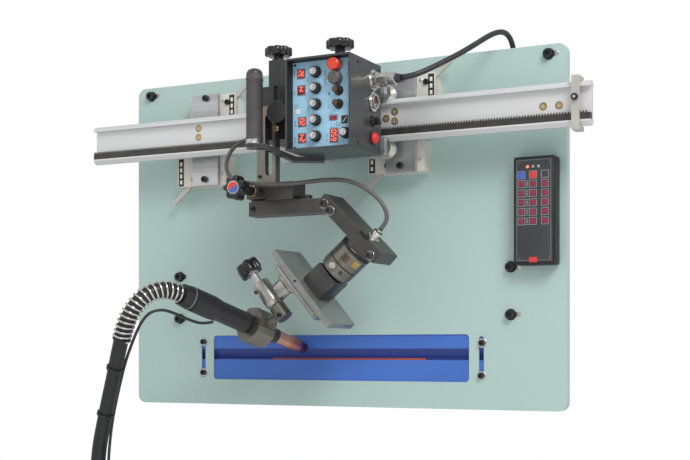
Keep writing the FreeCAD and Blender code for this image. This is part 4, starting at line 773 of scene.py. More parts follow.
def make_star_knobs():
    """Star knob of the cross slide with its neck and its two-coloured cap."""
    centre = middle("star_knob")
    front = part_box("star_knob")[0].y + STAR_SET_BACK
    base = Vector((centre.x, front + STAR_HEAD, centre.z))
    knob = lobed_knob("star_knob_head", base, FRONT, 7, 0.0208, STAR_HEAD, 0.0058, knob_black, "star_knob", power=1.3)
    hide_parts("star_knob")
    reach = base.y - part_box("clamp_block")[0].y
    neck = [(0, reach), (NECK_R, reach), (NECK_R, -0.008), (0.0115, -0.006), (0.0115, -0.0005), (0, -0.0005)]
    turned("star_knob_neck", neck, base, FRONT, black_oxide, "star_knob", 32)
    disc = Vector((centre.x, front + 0.0003, centre.z))
    turned("star_knob_rim", [(0, -0.001), (0.0108, -0.001), (0.0108, 0.0), (0.0100, 0.0003), (0, 0.0003)], disc,
           FRONT, silver_cap, "star_knob", 36)
    for name, start, material in (("star_knob_red", 30, red_plastic), ("star_knob_blue", 210, key_blue)):
        bm = bmesh.new()
        arc = [math.radians(start + 180 * k / 18) for k in range(19)]
        rims = [[bm.verts.new(disc + FRONT * rise + (RIGHT * math.cos(a) + UP * math.sin(a)) * 0.0092) for a in arc]
                for rise in (0.0002, 0.0007)]
        bm.faces.new(rims[1])
        bm.faces.new(list(reversed(rims[0])))
        skin(bm, rims)
        keep(name, to_mesh(bm), material, "star_knob")


UNIT_TILT = math.radians(40)
UNIT_B = Vector((-math.cos(UNIT_TILT), 0, -math.sin(UNIT_TILT)))
UNIT_P = Vector((math.sin(UNIT_TILT), 0, -math.cos(UNIT_TILT)))
UNIT_START = at(0.1198, 0.135, 0.0737)


def unit_at(t, p, out):
    """Place t down the weaving unit's axis, p along its slide, out from the panel."""
    spot = UNIT_START + UNIT_B * t + UNIT_P * p
    return Vector((spot.x, FACE_Y - out, spot.z))


def unit_frame(t, p, out):
    """Matrix with X down the axis, Y towards the panel and Z up the slide."""
    turn = Matrix((UNIT_B, -FRONT, -UNIT_P)).transposed().to_4x4()
    return Matrix.Translation(unit_at(t, p, out)) @ turn


def make_holder_knob():
    """Knob of the torch holder on its bright stem."""
    base = unit_at(0.188, -0.1045, 0.130)
    knob = lobed_knob("holder_knob_head", base, -UNIT_P, 6, 0.0218, 0.0215, 0.0056, knob_black, "holder_knob",
                      power=1.3)
    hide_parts("holder_knob")
    turned("holder_knob_stem", [(0, -0.0218), (0.0068, -0.0218), (0.0068, -0.003), (0.0105, -0.001), (0.0105, 0.0005),
                                (0, 0.0005)], base, -UNIT_P, silver_cap, "holder_knob", 32)


def make_holder():
    """Cast holder: a round housing for the knob's screw, an arm and a foot on the slide."""
    top = unit_at(0.188, -0.0820, 0.130)
    housing = turned("holder_housing", [(0, 0), (0.0125, 0), (0.0150, 0.0012), (0.0157, 0.0034), (0.0157, 0.0400),
                                        (0.0146, 0.0455), (0.0112, 0.0500), (0, 0.0516)], top, UNIT_P, cast_silver,
                     "weave_slide", 48)
    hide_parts("torch_holder")
    bm = bmesh.new()
    add_block(bm, Vector((0.0500, 0.0200, 0.0300)), unit_frame(0.1600, -0.0480, 0.125), 0.0070)
    add_block(bm, Vector((0.0180, 0.0270, 0.0380)), unit_frame(0.1435, -0.0440, 0.130), 0.0060)
    keep("holder_arm", to_mesh(bm), cast_silver, "weave_slide", smooth=50)
    bm = bmesh.new()
    add_block(bm, Vector((0.0038, 0.0500, 0.0560)), unit_frame(0.1355, -0.0460, 0.130), 0.0010)
    keep("holder_foot", to_mesh(bm), slide_grey, "weave_slide")
    cap_screws("holder_pin", [(unit_at(0.1980, -0.0700, 0.1425), (FRONT * 0.8 + UNIT_B * 0.6).normalized(), 0.0030)],
               black_oxide, "weave_slide")


BARREL_R = 0.0290


def make_weaving_unit():
    """Barrel rings with their window band and clamp screw, and the square motor block."""
    start = unit_at(0, 0, 0.135)
    rings = turned("barrel_rings", [(0, 0.0095), (0.0284, 0.0095), (BARREL_R, 0.0102), (BARREL_R, 0.0412),
                                    (0.0272, 0.0418), (0.0272, 0.0434), (BARREL_R, 0.0440), (BARREL_R, 0.0590),
                                    (0.0276, 0.0596), (0.0276, 0.0640), (0, 0.0640)], start, UNIT_B, barrel_steel,
                   "weaver", 64)
    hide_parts("weaver_barrel")
    # The near-black ring in the groove between the barrel rings is painted shade; the black ring at the barrel's end
    # is its own colour.
    for name, radius, t0, t1, material in (("barrel_black_ring", 0.0292, 0.0097, 0.0150, black_oxide),
                                           ("barrel_groove", 0.0280, 0.0414, 0.0438, recess_shade_black)):
        turned(name, [(0.020, t0), (radius, t0), (radius, t1), (0.020, t1)], start, UNIT_B, material, "weaver", 64)
    for name, angle, t, material in (("barrel_window", 56, 0.0185, amber_glaze),
                                     ("barrel_scale", 14, 0.0215, toggle_metal)):
        bm = bmesh.new()
        add_band_patch(bm, start, BARREL_R + 0.0003, t, t + 0.0125, angle, 26)
        keep(name, to_mesh(bm), material, "weaver")
    front = (FRONT + UNIT_P * 0.04).normalized()
    cap_screws("barrel_clamp_screw", [(start + UNIT_B * 0.0510 + front * 0.0280, front, 0.0062)], chrome, "weaver")
    side = (FRONT * 0.8 + UNIT_P * 0.6).normalized()
    cap_screws("barrel_stop_screw", [(start + UNIT_B * 0.0515 + side * 0.0275, side, 0.0032)], black_oxide, "weaver")
    bm = bmesh.new()
    add_block(bm, Vector((0.0420, 0.050, 0.047)), unit_frame(0.0890, 0.0010, 0.135), 0.0035)
    keep("motor_block", to_mesh(bm), motor_grey, "weaver")


def add_band_patch(bm, start, radius, t0, t1, angle, width):
    """Curved patch on the barrel, width degrees wide about an angle from the front."""
    rows = []
    for r in (radius, radius - 0.0012):
        for t in (t0, t1):
            row = []
            for k in range(7):
                a = math.radians(angle + width * (k / 6 - 0.5))
                outward = FRONT * math.cos(a) + UNIT_P * math.sin(a)
                row.append(bm.verts.new(start + UNIT_B * t + outward * r))
            rows.append(row)
    for low, high in ((rows[0], rows[1]), (rows[1], rows[3]), (rows[3], rows[2]), (rows[2], rows[0])):
        for k in range(6):
            bm.faces.new((low[k], low[k + 1], high[k + 1], high[k]))
    for k in (0, 6):
        bm.faces.new((rows[0][k], rows[1][k], rows[3][k], rows[2][k]))


def make_slide_details():
    """Gib strips, stop screws and the scale edge of the cross slide."""
    bm = bmesh.new()
    for p, long in ((-0.066, 0.036), (-0.014, 0.060)):
        add_block(bm, Vector((0.0022, 0.0022, long)), unit_frame(0.1135, p + long / 2, 0.1805), 0.0005)
    keep("base_gib_strips", to_mesh(bm), ground_steel, "weaver")
    bm = bmesh.new()
    add_block(bm, Vector((0.0050, 0.0018, 0.104)), unit_frame(0.1262, -0.0075, 0.1768), 0.0005)
    keep("carrier_edge_strip", to_mesh(bm), ground_steel, "weave_slide")
    cap_screws("base_edge_screw", [(unit_at(0.115, -0.020, 0.180), FRONT, 0.0020)], black_oxide, "weaver")
    spots = [(unit_at(0.1374, p, 0.130 + dh), UNIT_B, 0.0030) for p in (-0.069, -0.022) for dh in (-0.020, 0.020)]
    cap_screws("holder_foot_screws", spots, black_oxide, "weave_slide")


# ---- control box ----
INK = 0.0003          # thickness of a printed mark
SEGMENTS = {
    "0": "abcdef", "1": "bc", "2": "abged", "3": "abgcd", "4": "fgbc", "5": "afgcd", "6": "afgecd", "7": "abc",
    "8": "abcdefg", "9": "abcdfg",
}
SEGMENT_PLACES = {"a": (0, 1, 1), "g": (0, 0, 1), "d": (0, -1, 1), "f": (-0.5, 0.5, 0), "b": (0.5, 0.5, 0),
                  "e": (-0.5, -0.5, 0), "c": (0.5, -0.5, 0)}


def add_digits(bm, text, x, z, out, tall, pitch):
    """Seven-segment figures that read up the plate."""
    for k, figure in enumerate(text):
        along = (k - (len(text) - 1) / 2) * pitch
        for name in SEGMENTS[figure]:
            u, v, level = SEGMENT_PLACES[name]
            wide = tall * 0.5
            read = along + u * wide
            up = v * tall / 2
            size = (tall * 0.11, wide * 0.82) if level else (tall * 0.40, tall * 0.11)
            add_plate(bm, x - up - size[0] / 2, x - up + size[0] / 2, z + read - size[1] / 2,
                      z + read + size[1] / 2, out, INK)


def make_face_details():
    """Display windows, lit figures, scale ticks, frames and screws of the face plate, and painted shade on the hood's
    inner walls.
    """
    low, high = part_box("face_plate")
    face = FACE_Y - low.y - 0.004
    rows = [0.3409, 0.3145, 0.2643, 0.2384]
    shifts = (-0.0038, -0.0035, -0.0022, -0.0022)
    windows = [(0.0560 + dx, 0.0688 + dx, z - 0.0070, z + 0.0070) for z, dx in zip(rows, shifts)]
    windows += [(0.1107, 0.1235, 0.2285, 0.2497), (0.1098, 0.1222, 0.2633, 0.2703)]
    plates("display_windows", windows, face, 0.0008, display_red, "carriage", 0.0003)
    bm = bmesh.new()
    for z, dx, text in zip(rows, shifts, ("32", "14", "20", "24")):
        add_digits(bm, text, 0.0624 + dx, z, face + 0.0008, 0.0080, 0.0060)
    add_digits(bm, "650", 0.1171, 0.2391, face + 0.0008, 0.0080, 0.0063)
    keep("display_figures", to_mesh(bm), digit_glow, "carriage")
    bm = bmesh.new()
    for node in ("dial_knob_%d" % k for k in range(1, 7)):
        centre = middle(node)
        for k in range(11):
            a = math.radians(-150 + 30 * k)
            direction = Vector((math.sin(a), 0, math.cos(a)))
            spot = Vector((centre.x, FACE_Y - face - 0.0001, centre.z)) + direction * 0.0116
            turn = Matrix.Translation(spot) @ Matrix.Rotation(a, 4, "Y")
            add_block(bm, Vector((0.0005, 0.0003, 0.0022)), turn)
    for x0, x1, z0, z1 in windows:
        add_outline(bm, x0 - 0.0012, x1 + 0.0012, z0 - 0.0012, z1 + 0.0012, face, 0.0004)
    for x, z in ((0.1425, 0.3330), (0.1095, 0.2850), (0.1440, 0.2850), (0.0500, 0.2890), (0.1240, 0.2560)):
        add_outline(bm, x - 0.0030, x + 0.0030, z - 0.0024, z + 0.0024, face, 0.0004)
    strips = [(0.1000, 0.0012, 0.3180, 13), (0.1028, 0.0008, 0.3200, 11), (0.0455, 0.0012, 0.3360, 5),
              (0.0455, 0.0010, 0.3080, 4), (0.0700, 0.0010, 0.2820, 7), (0.1410, 0.0014, 0.3390, 6),
              (0.1450, 0.0010, 0.3250, 9), (0.1120, 0.0009, 0.2515, 3), (0.1170, 0.0009, 0.2515, 3),
              (0.1040, 0.0010, 0.2300, 6), (0.0470, 0.0016, 0.2590, 3), (0.0470, 0.0016, 0.2330, 3),
              (0.0700, 0.0010, 0.2520, 3), (0.0700, 0.0010, 0.3280, 3)]
    for x, wide, z, count in strips:
        for k in range(count):
            if (k * 7 + count) % 5:
                add_plate(bm, x, x + wide, z + 0.0023 * k, z + 0.0023 * k + 0.0016, face, INK)
    for x, z in ((0.1085, 0.3050), (0.1440, 0.3055)):
        add_plate(bm, x - 0.0010, x + 0.0010, z - 0.0022, z + 0.0022, face, INK)
    keep("face_marks", to_mesh(bm), label_black, "carriage")
    plates("face_icon_square", [(0.1300, 0.1415, 0.2560, 0.2690)], face, 0.0004, label_black, "carriage")
    bm = bmesh.new()
    turn = Matrix.Translation(at(0.1358, face + 0.0005, 0.2625)) @ Matrix.Rotation(math.radians(40), 4, "Y")
    add_block(bm, Vector((0.0008, 0.0003, 0.0100)), turn)
    add_plate(bm, 0.0486, 0.0562, 0.2782, 0.2862, face, INK)
    keep("face_icon_line", to_mesh(bm), label_print, "carriage")
    # Near-black plates on the hood's inner walls: painted shade in the recess round the face plate.
    bm = bmesh.new()
    box_low, box_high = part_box("control_box")
    reach = FACE_Y - box_low.y - 0.0006
    wall, lining = 0.0034, 0.0004
    left, right = box_low.x + wall, box_high.x - wall
    floor, roof = box_low.z + wall, box_high.z - wall
    for x0, x1, z0, z1 in ((left - lining, left, floor, roof), (right, right + lining, floor, roof),
                           (left, right, floor - lining, floor), (left, right, roof, roof + lining)):
        add_plate(bm, x0, x1, z0, z1, face + 0.0005, reach - face - 0.0005)
    keep("hood_lining", to_mesh(bm), recess_shade_black, "carriage")
    corners = [(x, z) for x in (low.x + 0.004, high.x - 0.004) for z in (low.z + 0.004, high.z - 0.004)]
    cross_screws("face_screws", [(at(x, face, z), FRONT, 0.0022) for x, z in corners], black_oxide, "carriage")


def add_outline(bm, x0, x1, z0, z1, out, line):
    """Printed rectangle with open middle, drawn with a line of that width."""
    for a, b, c, d in ((x0, x1, z0, z0 + line), (x0, x1, z1 - line, z1), (x0, x0 + line, z0 + line, z1 - line),
                       (x1 - line, x1, z0 + line, z1 - line)):
        add_plate(bm, a, b, c, d, out, INK)


def make_dials():
    """Fluted dial knobs with a bright cap and a pointer line."""
    for k in range(1, 7):
        node = "dial_knob_%d" % k
        body = "dial_%d" % k
        centre = middle(node)
        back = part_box("face_plate")[0].y + 0.0037
        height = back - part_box(node)[0].y
        base = Vector((centre.x, back, centre.z))
        turned("dial_%d_skirt" % k, [(0, 0), (0.0092, 0), (0.0092, 0.0028), (0.0082, 0.0040), (0, 0.0040)], base,
               FRONT, knob_black, body, 36)
        knob = lobed_knob("dial_%d_grip" % k, base + FRONT * 0.0036, FRONT, 12, 0.0080, height - 0.0050, 0.0007,
                          knob_black, body)
        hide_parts(node)
        turned("dial_%d_cap" % k, [(0, 0), (0.0058, 0), (0.0058, 0.0012), (0.0050, 0.0016), (0, 0.0016)],
               base + FRONT * (height - 0.0018), FRONT, silver_cap, body, 32)
        bm = bmesh.new()
        place = Matrix.Translation(base + FRONT * 0.0043 + UP * 0.0082)
        add_block(bm, Vector((0.0009, 0.0008, 0.0018)), place)
        keep("dial_%d_pointer" % k, to_mesh(bm), label_print, body)


def make_buttons_and_toggles():
    """Push buttons on their stems, and round-tipped toggles with their threaded nuts."""
    for node, material in (("red_button", red_plastic), ("grey_button", grey_plastic)):
        centre = middle(node)
        base = Vector((centre.x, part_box(node)[0].y + 0.015, centre.z))
        cap = turned(node + "_cap", [(0, 0), (0.0095, 0), (0.0103, 0.001), (0.0103, 0.0112), (0.0098, 0.0134),
                                     (0.0082, 0.0147), (0.0050, 0.0142), (0, 0.0138)], base, FRONT, material, node, 44)
        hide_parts(node)
        turned(node + "_stem", [(0, -0.0112), (0.0028, -0.0112), (0.0028, 0.0004), (0, 0.0004)], base, FRONT,
               grey_plastic, node, 24)
    for node in ("upper_toggle", "lower_toggle"):
        low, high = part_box(node)
        centre = middle(node)
        length = high.y - low.y
        base = Vector((centre.x, high.y, centre.z))
        bat = turned(node + "_bat", [(0, 0.0002), (0.0020, 0.0006), (0.0032, 0.0045), (0.0048, length * 0.42),
                                     (0.0052, length * 0.56), (0.0044, length * 0.66), (0.0024, length * 0.71),
                                     (0, length * 0.72)], base, FRONT, toggle_metal, node, 32)
        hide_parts(node)
        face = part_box("face_plate")[0].y
        turned(node + "_nut", [(0.0002, 0.0002), (0.0079, 0.0002), (0.0079, 0.0026), (0.0074, 0.0036),
                               (0.0070, 0.0042), (0.0002, 0.0042), (0.0002, 0.0002)],
               Vector((centre.x, face + 0.0040, centre.z)), FRONT, toggle_nut, "carriage", 40)


def make_box_side():
    """Plug, empty socket, fuse cap, lamp and the cover's screws on the box's right side."""
    low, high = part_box("control_box")
    side = high.x
    plug_z, socket_z = 0.3325, 0.2985

    def spot(z):
        return Vector((side, FACE_Y - 0.170, z))

    def ring(z, radius, first, count, head):
        """Spots of small screws or pins on a circle round a connector."""
        angles = [math.radians(first + 360 / count * k) for k in range(count)]
        return [(spot(z) + RIGHT * 0.0022 + Vector((0, radius * math.cos(a), radius * math.sin(a))), RIGHT, head)
                for a in angles]

    plug = turned("plug_shell", [(0, 0), (0.0168, 0), (0.0168, 0.0024), (0.0130, 0.0030), (0.0130, 0.0090),
                                 (0.0105, 0.0100), (0.0105, 0.0160), (0.0120, 0.0168), (0.0120, 0.0270),
                                 (0.0098, 0.0282), (0.0098, 0.0330), (0.0108, 0.0338), (0.0108, 0.0400),
                                 (0.0086, 0.0415), (0, 0.0415)], spot(plug_z), RIGHT, chrome, "carriage", 48)
    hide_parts("side_fittings")
    turned("plug_boot", [(0, 0.0410), (0.0078, 0.0412), (0.0070, 0.0450), (0.0062, 0.0494), (0.0046, 0.0499),
                         (0, 0.0499)], spot(plug_z), RIGHT, cable_black, "carriage", 32)
    turned("socket_ring", [(0.0088, 0.0005), (0.0155, 0), (0.0158, 0.0024), (0.0120, 0.0032), (0.0120, 0.0068),
                           (0.0106, 0.0070), (0.0090, 0.0066), (0.0088, 0.0005)], spot(socket_z), RIGHT, chrome,
           "carriage", 48)
    turned("socket_core", [(0, 0), (0.0089, 0), (0.0089, 0.0022), (0, 0.0022)], spot(socket_z), RIGHT, insulator_black,
           "carriage", 32)
    cap_screws("socket_pins", ring(socket_z, 0.005, 90, 5, 0.0010), brass, "carriage")
    flange = ring(plug_z, 0.0142, 45, 4, 0.0016) + ring(socket_z, 0.0142, 45, 4, 0.0016)
    cross_screws("flange_screws", flange, black_oxide, "carriage")
    turned("fuse_cap", [(0, 0), (0.0088, 0), (0.0088, 0.0030), (0.0066, 0.0042), (0.0062, 0.0135), (0.0052, 0.0140),
                        (0, 0.0140)], spot(0.2675), RIGHT, knob_black, "carriage", 32)
    turned("lamp_rim", [(0, 0), (0.0108, 0), (0.0108, 0.0020), (0.0092, 0.0030), (0, 0.0030)], spot(0.2405), RIGHT,
           black_oxide, "carriage", 36)
    turned("lamp_lens", [(0, 0.0028), (0.0088, 0.0028), (0.0086, 0.0050), (0.0066, 0.0078), (0, 0.0090)],
           spot(0.2405), RIGHT, lamp_red, "carriage", 36)
    spots = [(Vector((side, FACE_Y - out, z)), RIGHT, 0.0026)
             for out in (0.147, 0.222) for z in (low.z + 0.010, high.z - 0.010)]
    cross_screws("cover_screws", spots, black_oxide, "carriage")


# ---- handle ----
def make_handle():
    """Ribbed rubber sleeve of the grip with its cap and collar."""
    low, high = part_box("handle_grip")
    centre = middle("handle_grip")
    height = high.z - low.z
    base = Vector((centre.x, centre.y, low.z))
    dome = 0.0105
    body = height - dome
    ribs = [(0.0, 0.0), (0.0138, 0.0), (0.0144, 0.0008), (0.0144, 0.0036), (0.0136, 0.0042)]
    ribs += [(0.0138, 0.0050), (0.0138, body - 0.0100), (0.0144, body - 0.0092), (0.0144, body - 0.0052),
             (0.0137, body - 0.0046), (0.0137, body), (0.0, body)]
    bm = bmesh.new()
    add_turned(bm, ribs, base, UP, 96)
    for v in bm.verts:
        local = v.co - base
        angle = math.atan2(local.y, local.x)
        flute = 1 - 0.018 * (0.5 + 0.5 * math.cos(24 * angle))
        v.co.x = base.x + local.x * flute
        v.co.y = base.y + local.y * flute
    sleeve = keep("grip_sleeve", to_mesh(bm), grip_rubber, "carriage", smooth=60)
    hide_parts("handle_grip")
    turned("grip_cap", [(0, body), (0.0134, body), (0.0136, body + 0.0008), (0.0128, body + 0.0042),
                        (0.0104, body + 0.0076), (0.0064, body + 0.0097), (0, height)], base, UP, knob_grey,
           "carriage", 40)
    turned("grip_collar", [(0, -0.0078), (0.0140, -0.0078), (0.0144, -0.0070), (0.0144, -0.0008), (0.0138, -0.0001),
                           (0, -0.0001)], base, UP, silver_cap, "carriage", 48)


# ---- base ----
def make_panel_details():
    """Clamp screws of the work plates, the seam's backing, and painted shade on the bevel and in the seam."""
    places = [(-0.275, -0.083), (-0.275, -0.140), (0.2775, -0.0865), (0.2765, -0.1412)]
    washers("plate_washers", [(at(x, 0, z), FRONT, 0.0078) for x, z in places], zinc, "base")
    cap_screws("plate_screws", [(at(x, 0.0012, z), FRONT, 0.0052) for x, z in places], black_oxide, "base")
    low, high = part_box("work_plates")
    plates("seam_strip", [(-0.1330, 0.1700, -0.1165, -0.1125)], -0.0122, 0.0015, seam_orange, "base")
    # Dark blue slab laid on the upper plate's downward-facing bevel: painted shade.
    bm = bmesh.new()
    slope = Matrix(((1, 0, 0), (0, -0.874, 0.486), (0, -0.486, -0.874))).to_4x4()
    place = Matrix.Translation(at((low.x + high.x) / 2, -0.0075, -0.1045) + Vector((0, -0.874, -0.486)) * 0.0002)
    add_block(bm, Vector((high.x - low.x - 0.001, 0.0004, 0.0200)), place @ slope)
    keep("bevel_band", to_mesh(bm), blue_shadow, "base")
    # Dark blue plates in the seam gap on either side of the backing strip: painted shade.
    plates("seam_shadow", [(low.x + 0.004, -0.1330, -0.1165, -0.1125), (0.1700, high.x - 0.004, -0.1165, -0.1125)],
           -0.0122, 0.0012, blue_shadow, "base")


def make_mount_details():
    """Switch labels with their dark bands and marks, strap screws and label screws of the bracket plates, and the
    levers' screws.
    """
    left, right = -0.2485, 0.1445
    cream, bands, marks = [], [], []
    for x in (left, right):
        cream += [(x + 0.0290, x + 0.0595, 0.3150, 0.3680), (x - 0.0640, x - 0.0290, 0.2040, 0.2575),
                  (x + 0.0285, x + 0.0400, 0.2040, 0.2575)]
        bands += [(x + 0.0480, x + 0.0588, 0.3165, 0.3665), (x - 0.0620, x - 0.0510, 0.2055, 0.2560)]
        for k in range(4):
            marks.append((x + 0.0512, x + 0.0557, 0.3205 + 0.0112 * k, 0.3275 + 0.0112 * k))
            marks.append((x - 0.0590, x - 0.0545, 0.2095 + 0.0112 * k, 0.2165 + 0.0112 * k))
    plates("switch_labels", cream, 0.030, 0.0006, label_cream, "base", 0.0002)
    plates("label_bands", bands, 0.0306, 0.0003, label_black, "base")
    plates("label_marks", marks, 0.0309, 0.0003, label_print, "base")
    spots = [(at(x + dx, 0.038, z), FRONT, 0.0058) for x in (left, right)
             for dx, z in ((0.0025, 0.3627), (0.0, 0.2145))]
    cap_screws("bracket_screws", spots, black_oxide, "base")
    spots = [(at(x + 0.0335, 0.0306, 0.2240), FRONT, 0.0036) for x in (left, right)]
    spots += [(at(x + 0.0345, 0.0306, 0.3575), FRONT, 0.0034) for x in (left, right)]
    cross_screws("label_screws", spots, zinc, "base")
    for joint in frame["joints"]:
        lever = joint["child"]
        if lever in LEVERS:
            x, _, z = joint["pos_m"]
            spots = [(Vector((x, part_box(lever)[0].y, z)), FRONT, 0.0050)]
            cap_screws(lever + "_screw", spots, black_oxide, lever)


def make_rack():
    """Rack body with its row of straight-sided teeth."""
    low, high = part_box("rack")
    module = 0.0015
    root = high.z - 2.25 * module
    pitch = math.pi * module
    bm = bmesh.new()
    add_block(bm, Vector((high.x - low.x, high.y - low.y, root - low.z)),
              Matrix.Translation(Vector(((low.x + high.x) / 2, (low.y + high.y) / 2, (low.z + root) / 2))))
    car = middle("control_box").x
    first, last = math.ceil((low.x - car) / pitch), math.floor((high.x - car) / pitch) - 1
    for k in range(first, last + 1):
        x = car + (k + 0.5) * pitch
        ends = [[bm.verts.new((x + dx, y, z)) for dx, z in ((-0.00175, root), (-0.00052, high.z), (0.00052, high.z),
                                                           (0.00175, root))] for y in (low.y, low.y + 0.0018)]
        bm.faces.new(ends[0])
        bm.faces.new(list(reversed(ends[1])))
        skin(bm, ends)
    rack = keep("rack_teeth", to_mesh(bm), rack_steel, "base")
    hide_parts("rack")


def make_rail_details():
    """Rail screws and the stop's screw."""
    web = 0.066          # front of the rail's web, out from the panel
    spots = [(-0.2438, 0.3030), (-0.2438, 0.2870), (0.1466, 0.3006), (0.1466, 0.2847), (0.1308, 0.2903),
             (0.4048, 0.2875), (0.4309, 0.2870)]
    washers("rail_washers", [(at(x, web - 0.0009, z), FRONT, 0.0068) for x, z in spots], brass, "base")
    cross_screws("rail_screws", [(at(x, web - 0.0026, z), FRONT, 0.0056) for x, z in spots], brass, "base")
    low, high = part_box("rail_stop")
    cap_screws("stop_screw", [(Vector(((low.x + high.x) / 2, low.y + 0.0045, 0.2945)), FRONT, 0.0054)], black_oxide,
               "rail_stop")


# ---- height slide, arm and link ----
def make_slide_unit_details():
    """Screws of the column and the bar, the housing's disc and the clamp block's lug."""
    low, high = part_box("slide_column")
    front = FACE_Y - low.y
    cross_screws("column_screws", [(at(-0.0128, front + 0.0085, 0.2665), FRONT, 0.0052)], brass, "carriage")
    column = [(at(low.x + 0.006, front, z), FRONT, 0.0030) for z in (0.1905, 0.2950)]
    cap_screws("column_end_screws", column, black_oxide, "height_slide")
    disc_x = 0.5 * (low.x + high.x) + 0.025
    turned("pivot_disc", [(0, 0), (0.0180, 0), (0.0183, 0.0006), (0.0183, 0.0078), (0.0175, 0.0086), (0, 0.0086)],
           at(disc_x, front + 0.0020, 0.2945), FRONT, knob_grey, "carriage", 56)
    lug = FACE_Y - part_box("clamp_block")[0].y
    cap_screws("lug_screws", [(at(-0.0455, lug, 0.1672), FRONT, 0.0046)], black_oxide, "height_slide")
    turned("lug_nut", [(0.0062, 0), (0.0100, 0), (0.0104, 0.0008), (0.0104, 0.0060), (0.0095, 0.0068),
                       (0.0088, 0.0068), (0.0062, 0)], at(-0.063, lug + 0.0002, 0.1665), FRONT, brass, "height_slide", 6)
    cap_screws("bar_screws", [(at(-0.0700, 0.165, 0.1390), FRONT, 0.0042)], black_oxide, "cross_slide")


def make_link_details():
    """Link screws, their bright rims, painted shade in the slot and the lead's connector."""
    spots = [(0.0650, 0.1408), (0.0760, 0.1290), (0.1480, 0.0532)]
    washers("link_washers", [(at(x, 0.165, z), FRONT, 0.0082) for x, z in spots], ground_steel, "cross_slide")
    cap_screws("link_screws", [(at(x, 0.1660, z), FRONT, 0.0062) for x, z in spots], arm_steel, "cross_slide")
    direction = Vector((math.sqrt(0.5), 0, math.sqrt(0.5)))
    foot = at(0.14505, 0.150, 0.08098)
    turned("lead_connector", [(0, 0), (0.0112, 0), (0.0112, 0.0044), (0.0068, 0.0048), (0.0068, 0.0100),
                              (0.0082, 0.0108), (0.0082, 0.0156), (0.0050, 0.0168), (0.0047, 0.0198), (0, 0.0198)],
           foot, direction, chrome, "cross_slide", 40)
    # Thin near-black block along the link's slot: painted shade.
    bm = bmesh.new()
    slope = Matrix.Rotation(math.radians(45), 4, "Y")
    add_block(bm, Vector((0.0200, 0.0012, 0.0060)), Matrix.Translation(at(0.1375, 0.1653, 0.0865)) @ slope, 0.0005)
    keep("link_slot", to_mesh(bm), recess_shade_black, "cross_slide")


def make_torch_details():
    """Rings on the handle, painted shade in the clamp's split, and its screws."""
    bm = bmesh.new()
    for s in (0.2480, 0.2560):
        ring = [(0.0188, s), (0.0204, s), (0.0204, s + 0.0008), (0.0188, s + 0.0008), (0.0188, s)]
        add_turned(bm, ring, TORCH_TIP, TORCH_DIR, 48)
    keep("handle_rings", to_mesh(bm), key_frame, "torch")
    side = UP.cross(TORCH_DIR).normalized()
    upward = TORCH_DIR.cross(side)
    # Thin near-black strips along the clamp's split line: painted shade.
    bm = bmesh.new()
    turn = Matrix((TORCH_DIR, side, upward)).transposed().to_4x4()
    for k in (-1, 1):
        place = Matrix.Translation(torch_at(0.110) + side * k * 0.0240) @ turn
        add_block(bm, Vector((0.0366, 0.0132, 0.0014)), place)
    keep("clamp_split", to_mesh(bm), recess_shade_black, "torch")
    cap_screws("clamp_screws", [(torch_at(0.0922) + side * k * 0.0215, -TORCH_DIR, 0.0042) for k in (-1, 1)],
               black_oxide, "torch")
    cap_screws("swivel_screws", [(unit_at(0.188, -0.0100, 0.1438), FRONT, 0.0040)], black_oxide, "torch")


